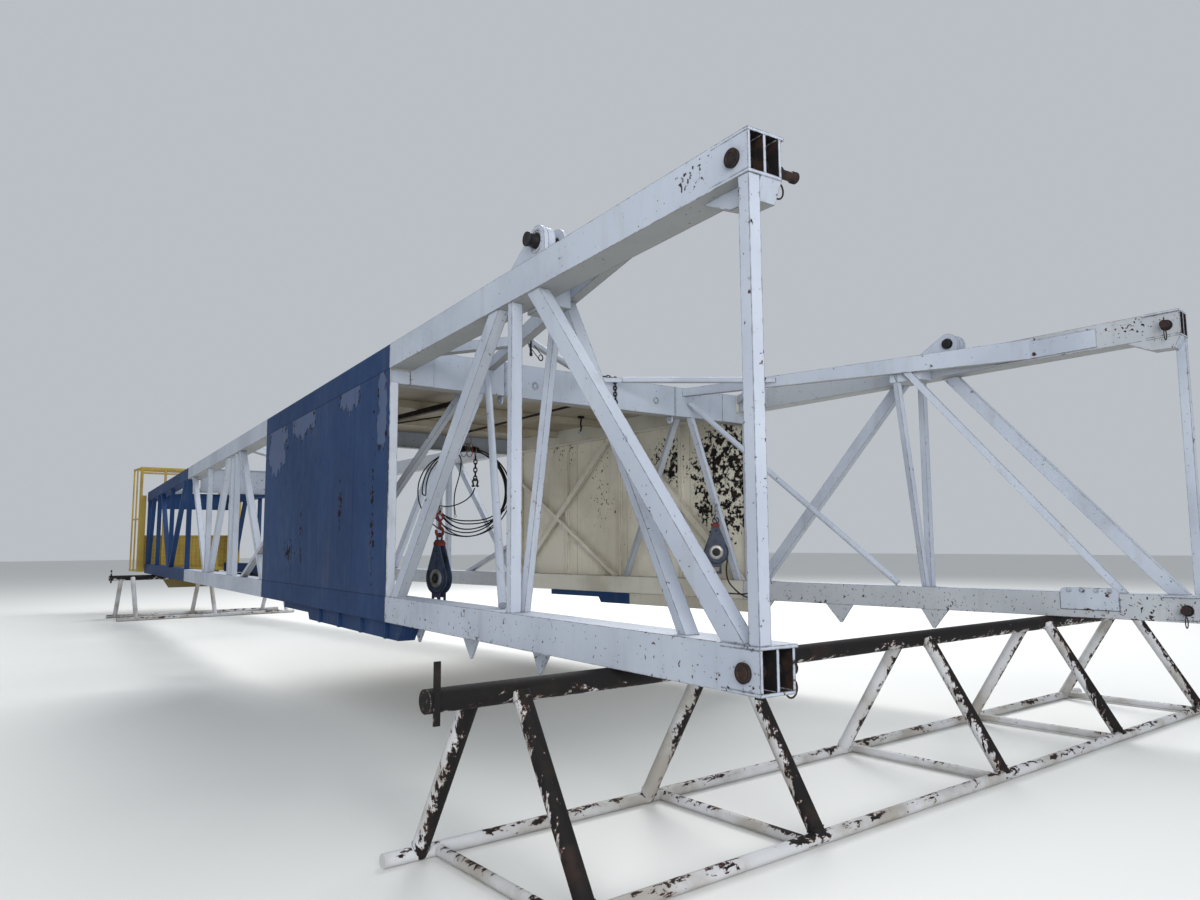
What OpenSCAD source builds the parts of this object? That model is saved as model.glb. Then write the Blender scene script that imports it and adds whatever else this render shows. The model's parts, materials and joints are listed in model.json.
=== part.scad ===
// Drilling mast laid down for storage on two pipe trestles.
// Millimetres. Ground is z = 0, the mast runs along +Y from its foot pins to the crown.

/* [Mast frame] */
// Spacing of the leg centres at the foot
foot_spacing = 6400; // [6000:50:6800]
// Length of each side frame from foot to crown end
frame_len = 25750; // [25600:10:25900]
// Overall depth of a side frame at the foot
foot_depth = 3140; // [3000:10:3300]
// Overall depth of a side frame at the crown end
crown_depth = 2380; // [2250:10:2500]
// Angle in plan by which each side frame leans inward
plan_angle = 4.64; // [4.2:0.02:5]
// Width of the box chords
chord_w = 260; // [220:5:300]
// Height of the box chords
chord_h = 265; // [230:5:300]
// End of the lower white bay
white_end = 5580; // [5400:10:5700]
// End of the plated blue bay
plated_end = 11080; // [10900:10:11250]
// End of the upper white bay
splice_end = 18590; // [18400:10:18800]

/* [Leg clevises] */
// Length of the open box at each leg foot
clevis_len = 330; // [280:5:380]
// Thickness of the clevis plates
clevis_plate = 20; // [14:1:26]
// Height of the foot pin above the bottom of its chord
pin_rise = 118; // [100:1:150]
// Distance from the leg end to the foot pin
pin_back = 120; // [95:1:150]
// Diameter of the foot pins
foot_pin_d = 85; // [60:1:100]
// Clearance of a pin in its holes
pin_clear = 1; // [0.5:0.5:3]

/* [Bracing] */
// Width of the wide diagonals
wide_bar = 140; // [110:5:170]
// Width of the posts
post_bar = 85; // [70:5:100]
// Width of the lattice bars
lattice_bar = 110; // [80:5:130]
// Thickness of the side bracing across the frame
bar_t = 100; // [70:5:130]
// Width of the thin posts and diagonals
thin_bar = 68; // [50:2:80]
// Distance along the frame to the lug station
lug_station = 2740; // [2650:10:2850]
// Thickness of the wall plates
wall_t = 10; // [6:1:16]

/* [Portal girder] */
// Depth of the portal girder
girder_depth = 405; // [360:5:440]
// Width of the portal girder
girder_flange = 200; // [160:5:240]
// Distance from the end of the white bay to the girder
girder_set = 48; // [30:1:70]
// Distance along the leg to the root of the knee beam
knee_root = 1376; // [1300:2:1450]
// Distance from the middle of the girder to the knee beam
knee_end = 1530; // [1450:5:1600]
// Width of the knee beams
knee_w = 90; // [70:2:110]
// Height of the underside of the knee beams below the chord line at the foot
knee_drop = 290; // [270:2:310]
// Depth of the splice girder between the upper bays
splice_depth = 560; // [450:10:600]

/* [Raising lugs] */
// Height of the lug pin above the chord
lug_rise = 125; // [110:5:160]
// Radius of the lug ears
lug_r = 125; // [110:5:150]
// Thickness of each lug ear
lug_t = 40; // [25:1:50]
// Diameter of the free ends of the lug pins
lug_pin_d = 120; // [114:1:130]
// Diameter of the lug pins in the ears
lug_shank_d = 110; // [90:1:112]
// Length of a pin that stands out of its lug
lug_pin_out = 94; // [70:1:110]

/* [Crown platform] */
// Width of the crown platform
crown_w = 2900; // [2800:20:3100]
// Height of the platform above the chord line at the crown
crown_over = 760; // [650:10:800]
// Length of the platform railing
rail_out = 1000; // [900:10:1100]
// Diameter of the railing pipes
rail_d = 48; // [34:1:60]

/* [Trestles] */
// Height of the lower chords above the ground
deck_z = 1190; // [1100:10:1250]
// Diameter of the trestle cross pipe
trestle_pipe_d = 140; // [115:1:170]
// Diameter of the trestle legs
trestle_leg_d = 114; // [90:1:125]
// Diameter of the ground skids
skid_d = 90; // [75:1:110]
// Reach of the near trestle to the left of the middle
near_left = 4540; // [4300:10:4700]
// Reach of the near trestle to the right of the middle
near_right = 5360; // [5200:10:5500]
// Distance of the near trestle from the foot
near_y = 1420; // [1300:10:1500]
// Half length of the far trestle
far_half = 2450; // [2200:10:2600]
// Distance of the far trestle from the foot
far_y = 23900; // [23500:50:24200]
// Half spread of the trestle legs at the ground
leg_spread = 720; // [650:10:780]
// Distance along the trestle from its middle to each leg of a pair
leg_stagger = 130; // [110:5:150]

/* [Rigging] */
// Radius of the hanging rope coil
coil_r = 755; // [650:5:780]
// Thickness of the bundle of rope turns
bundle_d = 124; // [100:2:130]
// Radius of the snatch block cheeks
block_r = 175; // [160:5:190]
// Diameter of the line in the snatch block
line_d = 22; // [16:1:24]
// Wire diameter of the hanging rings
ring_d = 16; // [12:1:18]

/* [Hidden] */
$fn = 32;

half_w = foot_spacing / 2 + chord_w / 2;
frame_run = frame_len * cos(plan_angle);
total_len = frame_run + platform_depth() + rail_out;
x_origin = (near_left - near_right) / 2;
y_origin = -total_len / 2;
depth_slope = (foot_depth - crown_depth) / frame_len;
big = 40000;

function platform_depth() = 130;
// Height of the top of the upper chord over the bottom of the lower one
function top_z(a) = foot_depth - depth_slope * a;
// Place of a point of the left frame in plan: distance a along it, o inward
function plan_x(a, o) = -half_w + o * cos(plan_angle) + a * sin(plan_angle);
function plan_y(a, o) = a * cos(plan_angle) - o * sin(plan_angle);

module mast_frame() { translate([x_origin, y_origin, deck_z]) children(); }
module left_leg() { translate([-half_w, 0, 0]) rotate([0, 0, -plan_angle]) children(); }
module left_side() { mast_frame() left_leg() children(); }
module right_side() { mast_frame() mirror([1, 0, 0]) left_leg() children(); }
module both_sides() { left_side() children(); right_side() children(); }
module both_plan() { mast_frame() children(); mast_frame() mirror([1, 0, 0]) children(); }
// A side view outline (distance, height) given a thickness t at o from the outer face
module plate(o, t) { translate([o, 0, 0]) rotate([90, 0, 90]) linear_extrude(height = t) children(); }
module bar2d(p, q, w) {
  d = q - p; n = [-d[1], d[0]] / norm(d) * w / 2; e = d / norm(d) * w;
  polygon([p - e + n, p - e - n, q + e - n, q + e + n]);
}
// The gap between the chords from distance a0 to a1
module gap2d(a0, a1) {
  polygon([[a0, chord_h], [a1, chord_h], [a1, top_z(a1) - chord_h], [a0, top_z(a0) - chord_h]]);
}
// The strip of the top plane that runs from drop to drop + depth below the chord line
module top_slab(drop, depth) {
  rotate([90, 0, 90]) linear_extrude(height = big, center = true) {
    c = cos(plan_angle);
    polygon([
      [-500, top_z(-500 / c) - drop - depth], [frame_run + 500, top_z((frame_run + 500) / c) - drop - depth],
      [frame_run + 500, top_z((frame_run + 500) / c) - drop], [-500, top_z(-500 / c) - drop],
    ]);
  }
}
// Everything between the inner faces of the two side frames
module inside_prism() {
  linear_extrude(height = big, center = true)
    polygon([
      [plan_x(0, chord_w), plan_y(0, chord_w)], [-plan_x(0, chord_w), plan_y(0, chord_w)],
      [-plan_x(frame_len, chord_w), plan_y(frame_len, chord_w)],
      [plan_x(frame_len, chord_w), plan_y(frame_len, chord_w)],
    ]);
}
module strut(p, q, w, t) {
  d = q - p; l = norm(d);
  translate(p) rotate([0, acos(d[2] / l), atan2(d[1], d[0])]) translate([-t / 2, -w / 2, 0]) cube([t, w, l]);
}
module rod(p, q, d) {
  v = q - p; l = norm(v);
  translate(p) rotate([0, acos(v[2] / l), atan2(v[1], v[0])]) cylinder(d = d, h = l);
}

// A rod whose end edges just clear two level seats at p and q
seat_gap = 0.3;
module seated_rod(p, q, d) {
  v = (q - p) / norm(q - p);
  e = v * ((d / 2 * norm([v[0], v[1]]) + seat_gap) / v[2]);
  rod(p + e, q - e, d);
}

module chord_pair(a0, a1) {
  plate(0, chord_w) {
    polygon([[a0, 0], [a1, 0], [a1, chord_h], [a0, chord_h]]);
    polygon([[a0, top_z(a0) - chord_h], [a1, top_z(a1) - chord_h], [a1, top_z(a1)], [a0, top_z(a0)]]);
  }
}
module lower_white_chords() { color("gainsboro") chord_pair(clevis_len, white_end); }
module plated_bay_chords() { color("midnightblue") chord_pair(white_end, plated_end); }
module upper_white_chords() { color("gainsboro") chord_pair(plated_end, splice_end); }
module crown_bay_chords() { color("midnightblue") chord_pair(splice_end, frame_len); }
module left_lower_white_chords() { left_side() lower_white_chords(); }
module right_lower_white_chords() { right_side() lower_white_chords(); }
module left_plated_bay_chords() { left_side() plated_bay_chords(); }
module right_plated_bay_chords() { right_side() plated_bay_chords(); }
module left_upper_white_chords() { left_side() upper_white_chords(); }
module right_upper_white_chords() { right_side() upper_white_chords(); }
module left_crown_bay_chords() { left_side() crown_bay_chords(); }
module right_crown_bay_chords() { right_side() crown_bay_chords(); }

// The open box at a leg foot: caps above and below, and three cheeks bored for the pin.
// The box starts at height base at the foot and falls by fall for each millimetre along the leg.
function clevis_z(base, fall, a) = base - fall * a;
module clevis_slab(base, fall, low, high) {
  polygon([
    [0, clevis_z(base, fall, 0) + low], [clevis_len, clevis_z(base, fall, clevis_len) + low],
    [clevis_len, clevis_z(base, fall, clevis_len) + high], [0, clevis_z(base, fall, 0) + high],
  ]);
}
module clevis_cheeks(base, fall) {
  t = clevis_plate;
  pin_z = clevis_z(base, fall, pin_back) + pin_rise;
  for (o = [0, (chord_w - t) / 2, chord_w - t]) difference() {
    plate(o, t) clevis_slab(base, fall, t, chord_h - t);
    translate([o - 1, pin_back, pin_z]) rotate([0, 90, 0]) cylinder(d = foot_pin_d + pin_clear, h = t + 2);
  }
}
module clevis_caps(base, fall) {
  t = clevis_plate;
  lip = 25;
  plate(0, chord_w) clevis_slab(base, fall, 0, t);
  plate(0, chord_w + lip) clevis_slab(base, fall, chord_h - t, chord_h);
}
module leg_clevis_cheeks() {
  color("gainsboro") both_sides() {
    clevis_cheeks(0, 0);
    clevis_cheeks(foot_depth - chord_h, depth_slope);
  }
}
module leg_clevis_caps() {
  color("gainsboro") both_sides() {
    clevis_caps(0, 0);
    clevis_caps(foot_depth - chord_h, depth_slope);
  }
}
tail_step = 5;
tail_len = 100;
module foot_pin(base, fall) {
  head = 25;
  translate([-head, pin_back, clevis_z(base, fall, pin_back) + pin_rise]) rotate([0, 90, 0]) {
    cylinder(d = foot_pin_d + 24, h = head);
    translate([0, 0, head]) cylinder(d = foot_pin_d, h = chord_w + tail_step);
    translate([0, 0, head + chord_w + tail_step]) cylinder(d = foot_pin_d - tail_step, h = tail_len);
  }
}
module foot_pins() {
  color("saddlebrown") both_sides() {
    foot_pin(0, 0);
    foot_pin(foot_depth - chord_h, depth_slope);
  }
}
// Tapered doubler under each upper chord at the foot
module wedge_doublers() {
  drop = 125;
  color("gainsboro") both_sides() plate(post_bar + 12, chord_w - post_bar - 12) {
    under0 = top_z(0) - chord_h;
    polygon([[0, under0], [500, top_z(500) - chord_h], [260, under0 - drop], [60, under0 - drop]]);
  }
}
module near_end_posts() {
  color("gainsboro") both_sides() translate([5, 5, chord_h])
    cube([post_bar, post_bar, foot_depth - 2 * chord_h - depth_slope * (5 + post_bar)]);
}

module outer_braces() {
  top = foot_depth - chord_h;
  color("gainsboro") plate(15, bar_t) intersection() {
    gap2d(clevis_len / 4, white_end);
    union() {
      bar2d([lug_station + 320, top], [white_end - 210, chord_h], wide_bar);
      bar2d([lug_station - 210, top], [225, chord_h], wide_bar);
      bar2d([lug_station + 110, top], [lug_station + 110, chord_h], thin_bar);
    }
  }
}
module left_outer_braces() { left_side() outer_braces(); }
module right_outer_braces() { right_side() outer_braces(); }

girder_near = plan_y(white_end, 0) + girder_set;
girder_y = girder_near + girder_flange / 2;
girder_top = top_z(white_end) - 10;
girder_bottom = girder_top - girder_depth;
// Plan of the knee beams: the inner face runs from the leg in to the portal girder
root_pt = [plan_x(knee_root, chord_w), plan_y(knee_root, chord_w)];
knee_angle = atan2(-knee_end - root_pt[0], girder_near - root_pt[1]);
knee_z = foot_depth - knee_drop;
// The strip from in to out outboard of the knee's inner face
module knee_strip(from, to) {
  translate(root_pt) rotate([0, 0, -knee_angle]) translate([-to, -frame_len])
    square([to - from, 2 * frame_len]);
}
module chord_strip(reach) { left_leg() translate([-big, -big]) square([big + reach, 2 * big]); }
// Between a leg and the near face of the girder
module knee_area() {
  difference() {
    translate([-half_w, 0]) square([half_w, girder_near]);
    chord_strip(chord_w);
  }
}
bracket_y = plan_y(lug_station, 0) - 130;
module bracket_solid() {
  intersection() {
    linear_extrude(height = big, center = true) difference() {
      intersection() { knee_area(); translate([-half_w, bracket_y]) square([half_w, 360]); }
      knee_strip(-big, knee_w);
    }
    top_slab(20, 280);
  }
}
module brace_cuts() {
  translate([-half_w, 0, 0]) cube([2 * half_w, frame_run, chord_h]);
  translate([-half_w, 0, knee_z]) cube([2 * half_w, frame_run, chord_h]);
  bracket_solid();
}
function chord_pt(a, o, z) = [plan_x(a, o), plan_y(a, o), z];
// A round tube from a level seat at p to an upright seat across the mast at q
module leaning_tube(p, q, d) {
  v = (q - p) / norm(q - p);
  e0 = v * ((d / 2 * norm([v[0], v[1]]) + seat_gap) / v[2]);
  e1 = v * ((d / 2 * norm([v[0], v[2]]) + seat_gap) / v[1]);
  rod(p + e0, q - e1, d);
}
module inner_braces() {
  low = 30;
  color("gainsboro") both_plan() {
    difference() {
      union() {
        strut(chord_pt(700, 108, chord_h - low), [-2560, lug_station + 20, knee_z + low], 95, 80);
        strut(chord_pt(2860, 165, chord_h - low), [-2560, lug_station + 160, knee_z + low],
          thin_bar, thin_bar);
      }
      brace_cuts();
    }
    leaning_tube(chord_pt(3200, 150, chord_h), [-1625, girder_near, knee_z - 62], 76);
  }
}

module wall_plate() { plate(0, wall_t) gap2d(white_end, plated_end); }
module left_wall_plate() { color("midnightblue") left_side() wall_plate(); }
module right_wall_plate() { color("midnightblue") right_side() wall_plate(); }
// Bracing on the inside of the plated walls: posts on the plate, diagonals on the posts
wall_post_t = 45;
module wall_lattice() {
  quarter = (plated_end - white_end) / 4;
  top = foot_depth - 1.9 * chord_h;
  color("antiquewhite") {
    plate(wall_t, bar_t - wall_t) polygon([[white_end, chord_h], [white_end + 80, chord_h],
      [white_end + 80, girder_bottom], [white_end, girder_bottom]]);
    plate(wall_t, wall_post_t) intersection() {
      gap2d(white_end, plated_end);
      union() {
        for (i = [1:3]) bar2d([white_end + i * quarter, 0], [white_end + i * quarter, foot_depth], thin_bar);
        bar2d([plated_end - thin_bar / 2, 0], [plated_end - thin_bar / 2, foot_depth], thin_bar);
      }
    }
    plate(wall_t + wall_post_t + seat_gap, bar_t - wall_post_t) intersection() {
      gap2d(white_end, plated_end);
      union() {
        falling = [[white_end + 2920, top], [plated_end - 130, chord_h]];
        bar2d([white_end + 170, chord_h], [white_end + 2570, top], lattice_bar);
        bar2d(falling[0], falling[1], lattice_bar);
        difference() {
          bar2d([white_end + 2820, chord_h], [plated_end - 40, 2000], thin_bar);
          bar2d(falling[0], falling[1], lattice_bar + 2 * seat_gap);
        }
      }
    }
  }
}
module left_wall_lattice() { left_side() wall_lattice(); }
module right_wall_lattice() { right_side() wall_lattice(); }

module roof_plan() {
  y0 = girder_y + girder_flange / 2; y1 = plan_y(plated_end, 0) - 80;
  translate([-half_w, y0]) square([2 * half_w, y1 - y0]);
}
module roof_plate() {
  color("antiquewhite") mast_frame() intersection() {
    linear_extrude(height = big, center = true) roof_plan();
    inside_prism();
    top_slab(20, wall_t);
  }
}
module roof_ribs() {
  count = 3;
  color("antiquewhite") mast_frame() intersection() {
    linear_extrude(height = big, center = true) for (i = [1:count])
      translate([-half_w, plan_y(white_end, 0) + i * (plated_end - white_end) / (count + 1) - 40])
        square([2 * half_w, 80]);
    inside_prism();
    top_slab(20 + wall_t, 110);
  }
}

// A girder of I section across the mast at plan distance y
module cross_girder(y, drop, depth, flange, t) {
  intersection() {
    inside_prism();
    rotate([90, 0, 90]) linear_extrude(height = big, center = true) translate([y, drop - depth]) {
      translate([-flange / 2, 0]) square([flange, t]);
      translate([-flange / 2, depth - t]) square([flange, t]);
      translate([-t / 2, 0]) square([t, depth]);
    }
  }
}
// A closed box across the mast, with a stiffener on each side of the middle
quarter_x = 1385;
module portal_girder() {
  rib = 12;
  color("gainsboro") mast_frame() {
    intersection() {
      inside_prism();
      translate([-half_w, girder_near, girder_bottom]) cube([2 * half_w, girder_flange, girder_depth]);
    }
    for (s = [-1, 1]) translate([s * quarter_x - rib / 2, girder_near - 2 * rib, girder_bottom])
      cube([rib, 3 * rib, girder_depth]);
  }
}
// Cover plates on the girder ends, and the seat of each end under its upper chord
module girder_box_ends() {
  cover = 12; w = 290;
  color("gainsboro") both_plan() {
    intersection() {
      linear_extrude(height = big, center = true) difference() {
        translate([-half_w, girder_near - cover]) square([plan_x(white_end, chord_w) + w + half_w, cover]);
        chord_strip(chord_w);
      }
      translate([-half_w, 0, girder_bottom]) cube([2 * half_w, frame_run, girder_depth]);
    }
    intersection() {
      linear_extrude(height = big, center = true) intersection() {
        translate([-half_w, girder_near]) square([half_w, girder_flange]);
        difference() { chord_strip(chord_w); chord_strip(lug_in); }
      }
      translate([-half_w, 0, girder_bottom]) cube([half_w, frame_run, girder_depth]);
      top_slab(chord_h, girder_depth);
    }
  }
}
module girder_pad_eyes() {
  eye = 50;
  color("gainsboro") both_plan() translate([-quarter_x - eye / 4, girder_y, girder_bottom])
    rotate([90, 0, 90]) linear_extrude(height = eye / 2) difference() {
      union() {
        circle(r = eye);
        translate([-eye, -eye]) square([2 * eye, eye]);
        translate([0, -eye]) circle(r = eye);
      }
      translate([-2 * eye, 0]) square([4 * eye, 2 * eye]);
      translate([0, -eye]) circle(d = 36);
    }
}

// Each knee beam with the plate that holds it to its leg
module knee_beams() {
  root_t = 20;
  color("gainsboro") both_plan() {
    intersection() {
      linear_extrude(height = big, center = true) difference() {
        knee_strip(0, knee_w);
        chord_strip(chord_w + 5);
        translate([-half_w, girder_near]) square([2 * half_w, big]);
      }
      top_slab(20, 500);
      translate([-half_w, 0, knee_z]) cube([half_w, frame_run, foot_depth]);
    }
    left_leg() plate(chord_w, root_t) polygon([
      for (p = [[770, 245], [1840, 245], [1840, 45], [770, 45]]) [p[0], top_z(p[0]) - p[1]]]);
  }
}
// Ends of the loose bracing tubes
tube_out = [-1820, 4410, foot_depth - 210];
tube_in = [-310, girder_near - 150, foot_depth - 220];
module lug_brackets() {
  bar = [20, 60];
  dir = (tube_in - tube_out) / norm(tube_in - tube_out);
  color("gainsboro") both_plan() {
    bracket_solid();
    difference() {
      strut(tube_out, tube_out - dir * 300, bar[0], bar[1]);
      linear_extrude(height = big, center = true) knee_strip(0, big);
    }
    difference() {
      strut(tube_in, tube_in + dir * 500, bar[0], bar[1]);
      translate([-half_w, girder_near, 0]) cube([2 * half_w, frame_run, foot_depth]);
    }
  }
}
module knee_diagonals() {
  color("gainsboro") both_plan() intersection() {
    linear_extrude(height = big, center = true) difference() {
      intersection() {
        knee_area();
        bar2d([-1990, 4535], [plan_x(white_end, chord_w) - 40, girder_near - 65], lattice_bar);
      }
      knee_strip(-big, knee_w);
      translate([-half_w, girder_near - 12]) square([half_w, 24]);
    }
    top_slab(30, 100);
  }
}

// Two ears on each upper chord, with a raked back and a round top
lug_a = lug_station - 320;
lug_heel = 450;
module lug_outline() {
  hull() {
    translate([lug_a, top_z(lug_a) + lug_rise]) circle(r = lug_r);
    polygon([[lug_a - lug_r, top_z(lug_a - lug_r)], [lug_a + lug_heel, top_z(lug_a + lug_heel)],
      [lug_a, top_z(lug_a) - chord_h / 2]]);
  }
}
lug_in = 20;
module raising_lugs() {
  color("gainsboro") both_sides() for (o = [lug_in, chord_w - lug_in - lug_t]) difference() {
    plate(o, lug_t) difference() {
      lug_outline();
      polygon([[0, 0], [white_end, 0], [white_end, top_z(white_end)], [0, top_z(0)]]);
    }
    translate([o - 1, lug_a, top_z(lug_a) + lug_rise]) rotate([0, 90, 0])
      cylinder(d = lug_shank_d + pin_clear, h = lug_t + 2);
  }
}
module lug_pins() {
  color("black") both_sides() translate([lug_in - 1, lug_a, top_z(lug_a) + lug_rise]) rotate([0, 90, 0]) {
    translate([0, 0, -lug_pin_out]) cylinder(d = lug_pin_d, h = lug_pin_out);
    cylinder(d = lug_shank_d, h = chord_w + 1);
  }
}

// Loose bracing tubes pinned between the middle of the girder and the knee beams
module spreader_tubes() { color("gainsboro") both_plan() rod(tube_out, tube_in, 80); }
// A white strut under the girder, with the lug that a block hangs from, and a cream one behind it
strut_top = [-1710, girder_near + 30, girder_bottom];
strut_foot = chord_pt(5735, 172, chord_h);
module girder_struts() {
  color("gainsboro") {
    both_plan() difference() {
      union() {
        strut(strut_top, strut_foot, 90, 70);
        strut(strut_top, strut_top + (strut_top - strut_foot) * 0.03, 90, 70);
        strut(strut_foot, strut_foot - (strut_top - strut_foot) * 0.03, 90, 70);
        strut([-1665, girder_y, girder_top - 65], chord_pt(8070, 172, chord_h - 30), 85, 70);
      }
      translate([-half_w, girder_near, girder_bottom]) cube([2 * half_w, girder_flange, foot_depth]);
      translate([-half_w, 0, girder_bottom]) cube([2 * half_w, girder_near + 1, foot_depth]);
      translate([-half_w, 0, 0]) cube([half_w, frame_run, chord_h]);
    }
    mast_frame() {
      mirror([1, 0, 0]) strut_lug(right_z, 90 - right_az);
      strut_lug(left_z, left_az);
    }
  }
}

// Rigging that hangs in the mast. A ring in the upright plane whose normal has azimuth az
module ring(p, az, r, d) {
  translate(p) rotate([0, 0, -az]) rotate([90, 0, 0]) rotate_extrude() translate([r, 0]) circle(d = d);
}
// Centre heights of a chain of n rings, each on the one above it, from the height of the first wire
function ring_z(first, r, d, i) = first - r - i * (2 * r - d - seat_gap);
coil_at = [840, 10380, foot_depth - 1410];
coil_az = 20;
module rope_coil() { color("black") mast_frame() ring(coil_at, coil_az, coil_r, bundle_d); }
module rope_hanger() {
  r1 = 85; r2 = 70; d = 20; hole = 44; half = 45;
  z1 = coil_at[2] + coil_r - bundle_d / 2 - d / 2 - seat_gap + r1;
  z2 = z1 + r1 - d - seat_gap + r2;
  eye = z2 + r2 + hole / 2 - d / 2 - seat_gap - wire_lift(r2, d);
  color("silver") mast_frame() {
    ring([coil_at[0], coil_at[1], z1], coil_az + 90, r1, d);
    ring([coil_at[0], coil_at[1], z2], coil_az, r2, d);
    difference() {
      translate([coil_at[0], coil_at[1], 0]) rotate([0, 0, -coil_az - 90]) rotate([90, 0, 0])
        linear_extrude(height = lug_plate, center = true) difference() {
          translate([-half, eye - half]) square([2 * half, foot_depth - eye]);
          translate([0, eye]) circle(d = hole);
        }
      top_slab(-foot_depth, foot_depth + 20 + wall_t);
    }
  }
}
// Lugs on the white struts, the rings below them, and the two blocks. Azimuths are those of the
// lug plates and of the lowest rings, and the right side is worked out mirrored to the left.
function on_strut(z) = strut_top
  + (strut_foot - strut_top) * ((strut_top[2] - z) / (strut_top[2] - strut_foot[2]));
ring_r = 34;
lug_hole = 44;
lug_reach = 105;
lug_plate = 16;
function hang_at(z, az) = on_strut(z) + lug_reach * [cos(az), -sin(az), 0];
// How much higher a ring sits on a plate than on a knife edge
function wire_lift(r, d) = r - d / 2 - sqrt(pow(r - d / 2, 2) - pow(lug_plate / 2, 2));
function first_wire(z) = z - (lug_hole - ring_d) / 2 + seat_gap + wire_lift(ring_r, ring_d);
right_z = 1380;
right_az = 46;
right_rings = 4;
left_z = 1270;
left_az = 80;
left_rings = 2;
eye_r = 42;
eye_d = 22;
hook_r = 48;
hook_d = 32;
hook_len = 168;
right_at = hang_at(right_z, 90 - right_az);
left_at = hang_at(left_z, left_az);
function last_wire(z, n) = ring_z(first_wire(z), ring_r, ring_d, n - 1) - ring_r;
right_eye = last_wire(right_z, right_rings) + (ring_d + eye_d) / 2 + seat_gap - eye_r;
hook_eye = last_wire(left_z, left_rings) + (ring_d + eye_d) / 2 + seat_gap - eye_r;
hook_z = hook_eye - hook_len;
left_eye = hook_z - hook_r + (hook_d + eye_d) / 2 + seat_gap - eye_r;
module strut_lug(z, az) {
  at = hang_at(z, az);
  half = 32;
  translate([at[0], at[1], z]) rotate([0, 0, -az]) rotate([90, 0, 0])
    linear_extrude(height = lug_plate, center = true) difference() {
      translate([-lug_reach, -half]) square([lug_reach + half, 2 * half]);
      circle(d = lug_hole);
    }
}
module ring_chain(at, z, last_az, n) {
  for (i = [0:n - 1])
    ring([at[0], at[1], ring_z(first_wire(z), ring_r, ring_d, i)], last_az + 90 * (n - 1 - i),
      ring_r, ring_d);
}
module block_rings() {
  color("dimgray") mast_frame() {
    mirror([1, 0, 0]) ring_chain(right_at, right_z, 90 - right_az, right_rings);
    ring_chain(left_at, left_z, left_az, left_rings);
  }
}
block_hub = 446;
sheave_t = 60;
groove_r = block_r - 37;
// Outline of a cheek: a large round about the hub that narrows to the eye
module cheek_outline() {
  top_r = 45; len = block_hub - 90;
  lean = acos((block_r - top_r) / len);
  circle(r = block_r);
  translate([0, len]) circle(r = top_r);
  polygon([
    block_r * [sin(lean), cos(lean)], [0, len] + top_r * [sin(lean), cos(lean)],
    [0, len] + top_r * [-sin(lean), cos(lean)], block_r * [-sin(lean), cos(lean)],
  ]);
  difference() {
    translate([-70, -block_r - 130]) square([140, block_r]);
    translate([-40, -block_r - 95]) square([80, 60]);
  }
}
module snatch_block(at, eye_z, az) {
  translate([at[0], at[1], eye_z]) rotate([0, 0, -az]) rotate([90, 0, 0]) {
    rotate_extrude() translate([eye_r, 0]) circle(d = eye_d);
    translate([0, -block_hub, 0]) {
      for (s = [-1, 1]) translate([0, 0, s * (sheave_t / 2 + 7)])
        linear_extrude(height = 14, center = true) cheek_outline();
      cylinder(r = groove_r, h = sheave_t, center = true);
      for (s = [-1, 1]) translate([0, 0, s * (sheave_t / 2 - 5)])
        cylinder(r = block_r - 12, h = 10, center = true);
      cylinder(r = 55, h = sheave_t + 52, center = true);
      translate([0, block_hub - 65, 0]) cube([50, 60, sheave_t], center = true);
    }
  }
}
module snatch_blocks() {
  color("darkslategray") mast_frame() {
    snatch_block([-right_at[0], right_at[1]], right_eye, right_az);
    snatch_block(left_at, left_eye, left_az);
  }
}
module block_hook() {
  color("firebrick") mast_frame() translate([left_at[0], left_at[1], hook_z]) {
    rotate([0, 0, -left_az - 90]) rotate([90, 0, 0]) {
      rotate([0, 0, 90]) rotate_extrude(angle = 290) translate([hook_r, 0]) circle(d = hook_d);
      translate([0, hook_r - hook_d / 2, 0]) rotate([-90, 0, 0])
        cylinder(d = hook_d, h = hook_len - hook_r - eye_r + hook_d / 2);
      translate([0, hook_len, 0]) rotate_extrude() translate([eye_r, 0]) circle(d = eye_d);
    }
  }
}
// The slack line over the right block, both ends at the inner face of the right leg
line_points = [
  [2639, 5280, 40], [2540, 5285, 35], [2440, 5310, 45], [2350, 5385, 110], [2260, 5475, 250],
  [2235, 5500, 400], [2245, 5490, 565], [2245, 5490, 675], [2230, 5505, 750], [2195, 5545, 805],
  [2140, 5600, 825], [2090, 5655, 805], [2050, 5695, 750], [2035, 5710, 675], [2035, 5705, 565],
  [2070, 5675, 405], [2140, 5610, 190], [2235, 5525, 110], [2360, 5430, 90], [2450, 5395, 85],
  [2550, 5390, 90], [2630, 5390, 95],
];
function spline(p, i, t) =
  let (a = p[max(i - 1, 0)], b = p[i], c = p[i + 1], d = p[min(i + 2, len(p) - 1)])
  0.5 * (2 * b + (c - a) * t + (2 * a - 5 * b + 4 * c - d) * t * t + (3 * b - a - 3 * c + d) * t * t * t);
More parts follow.
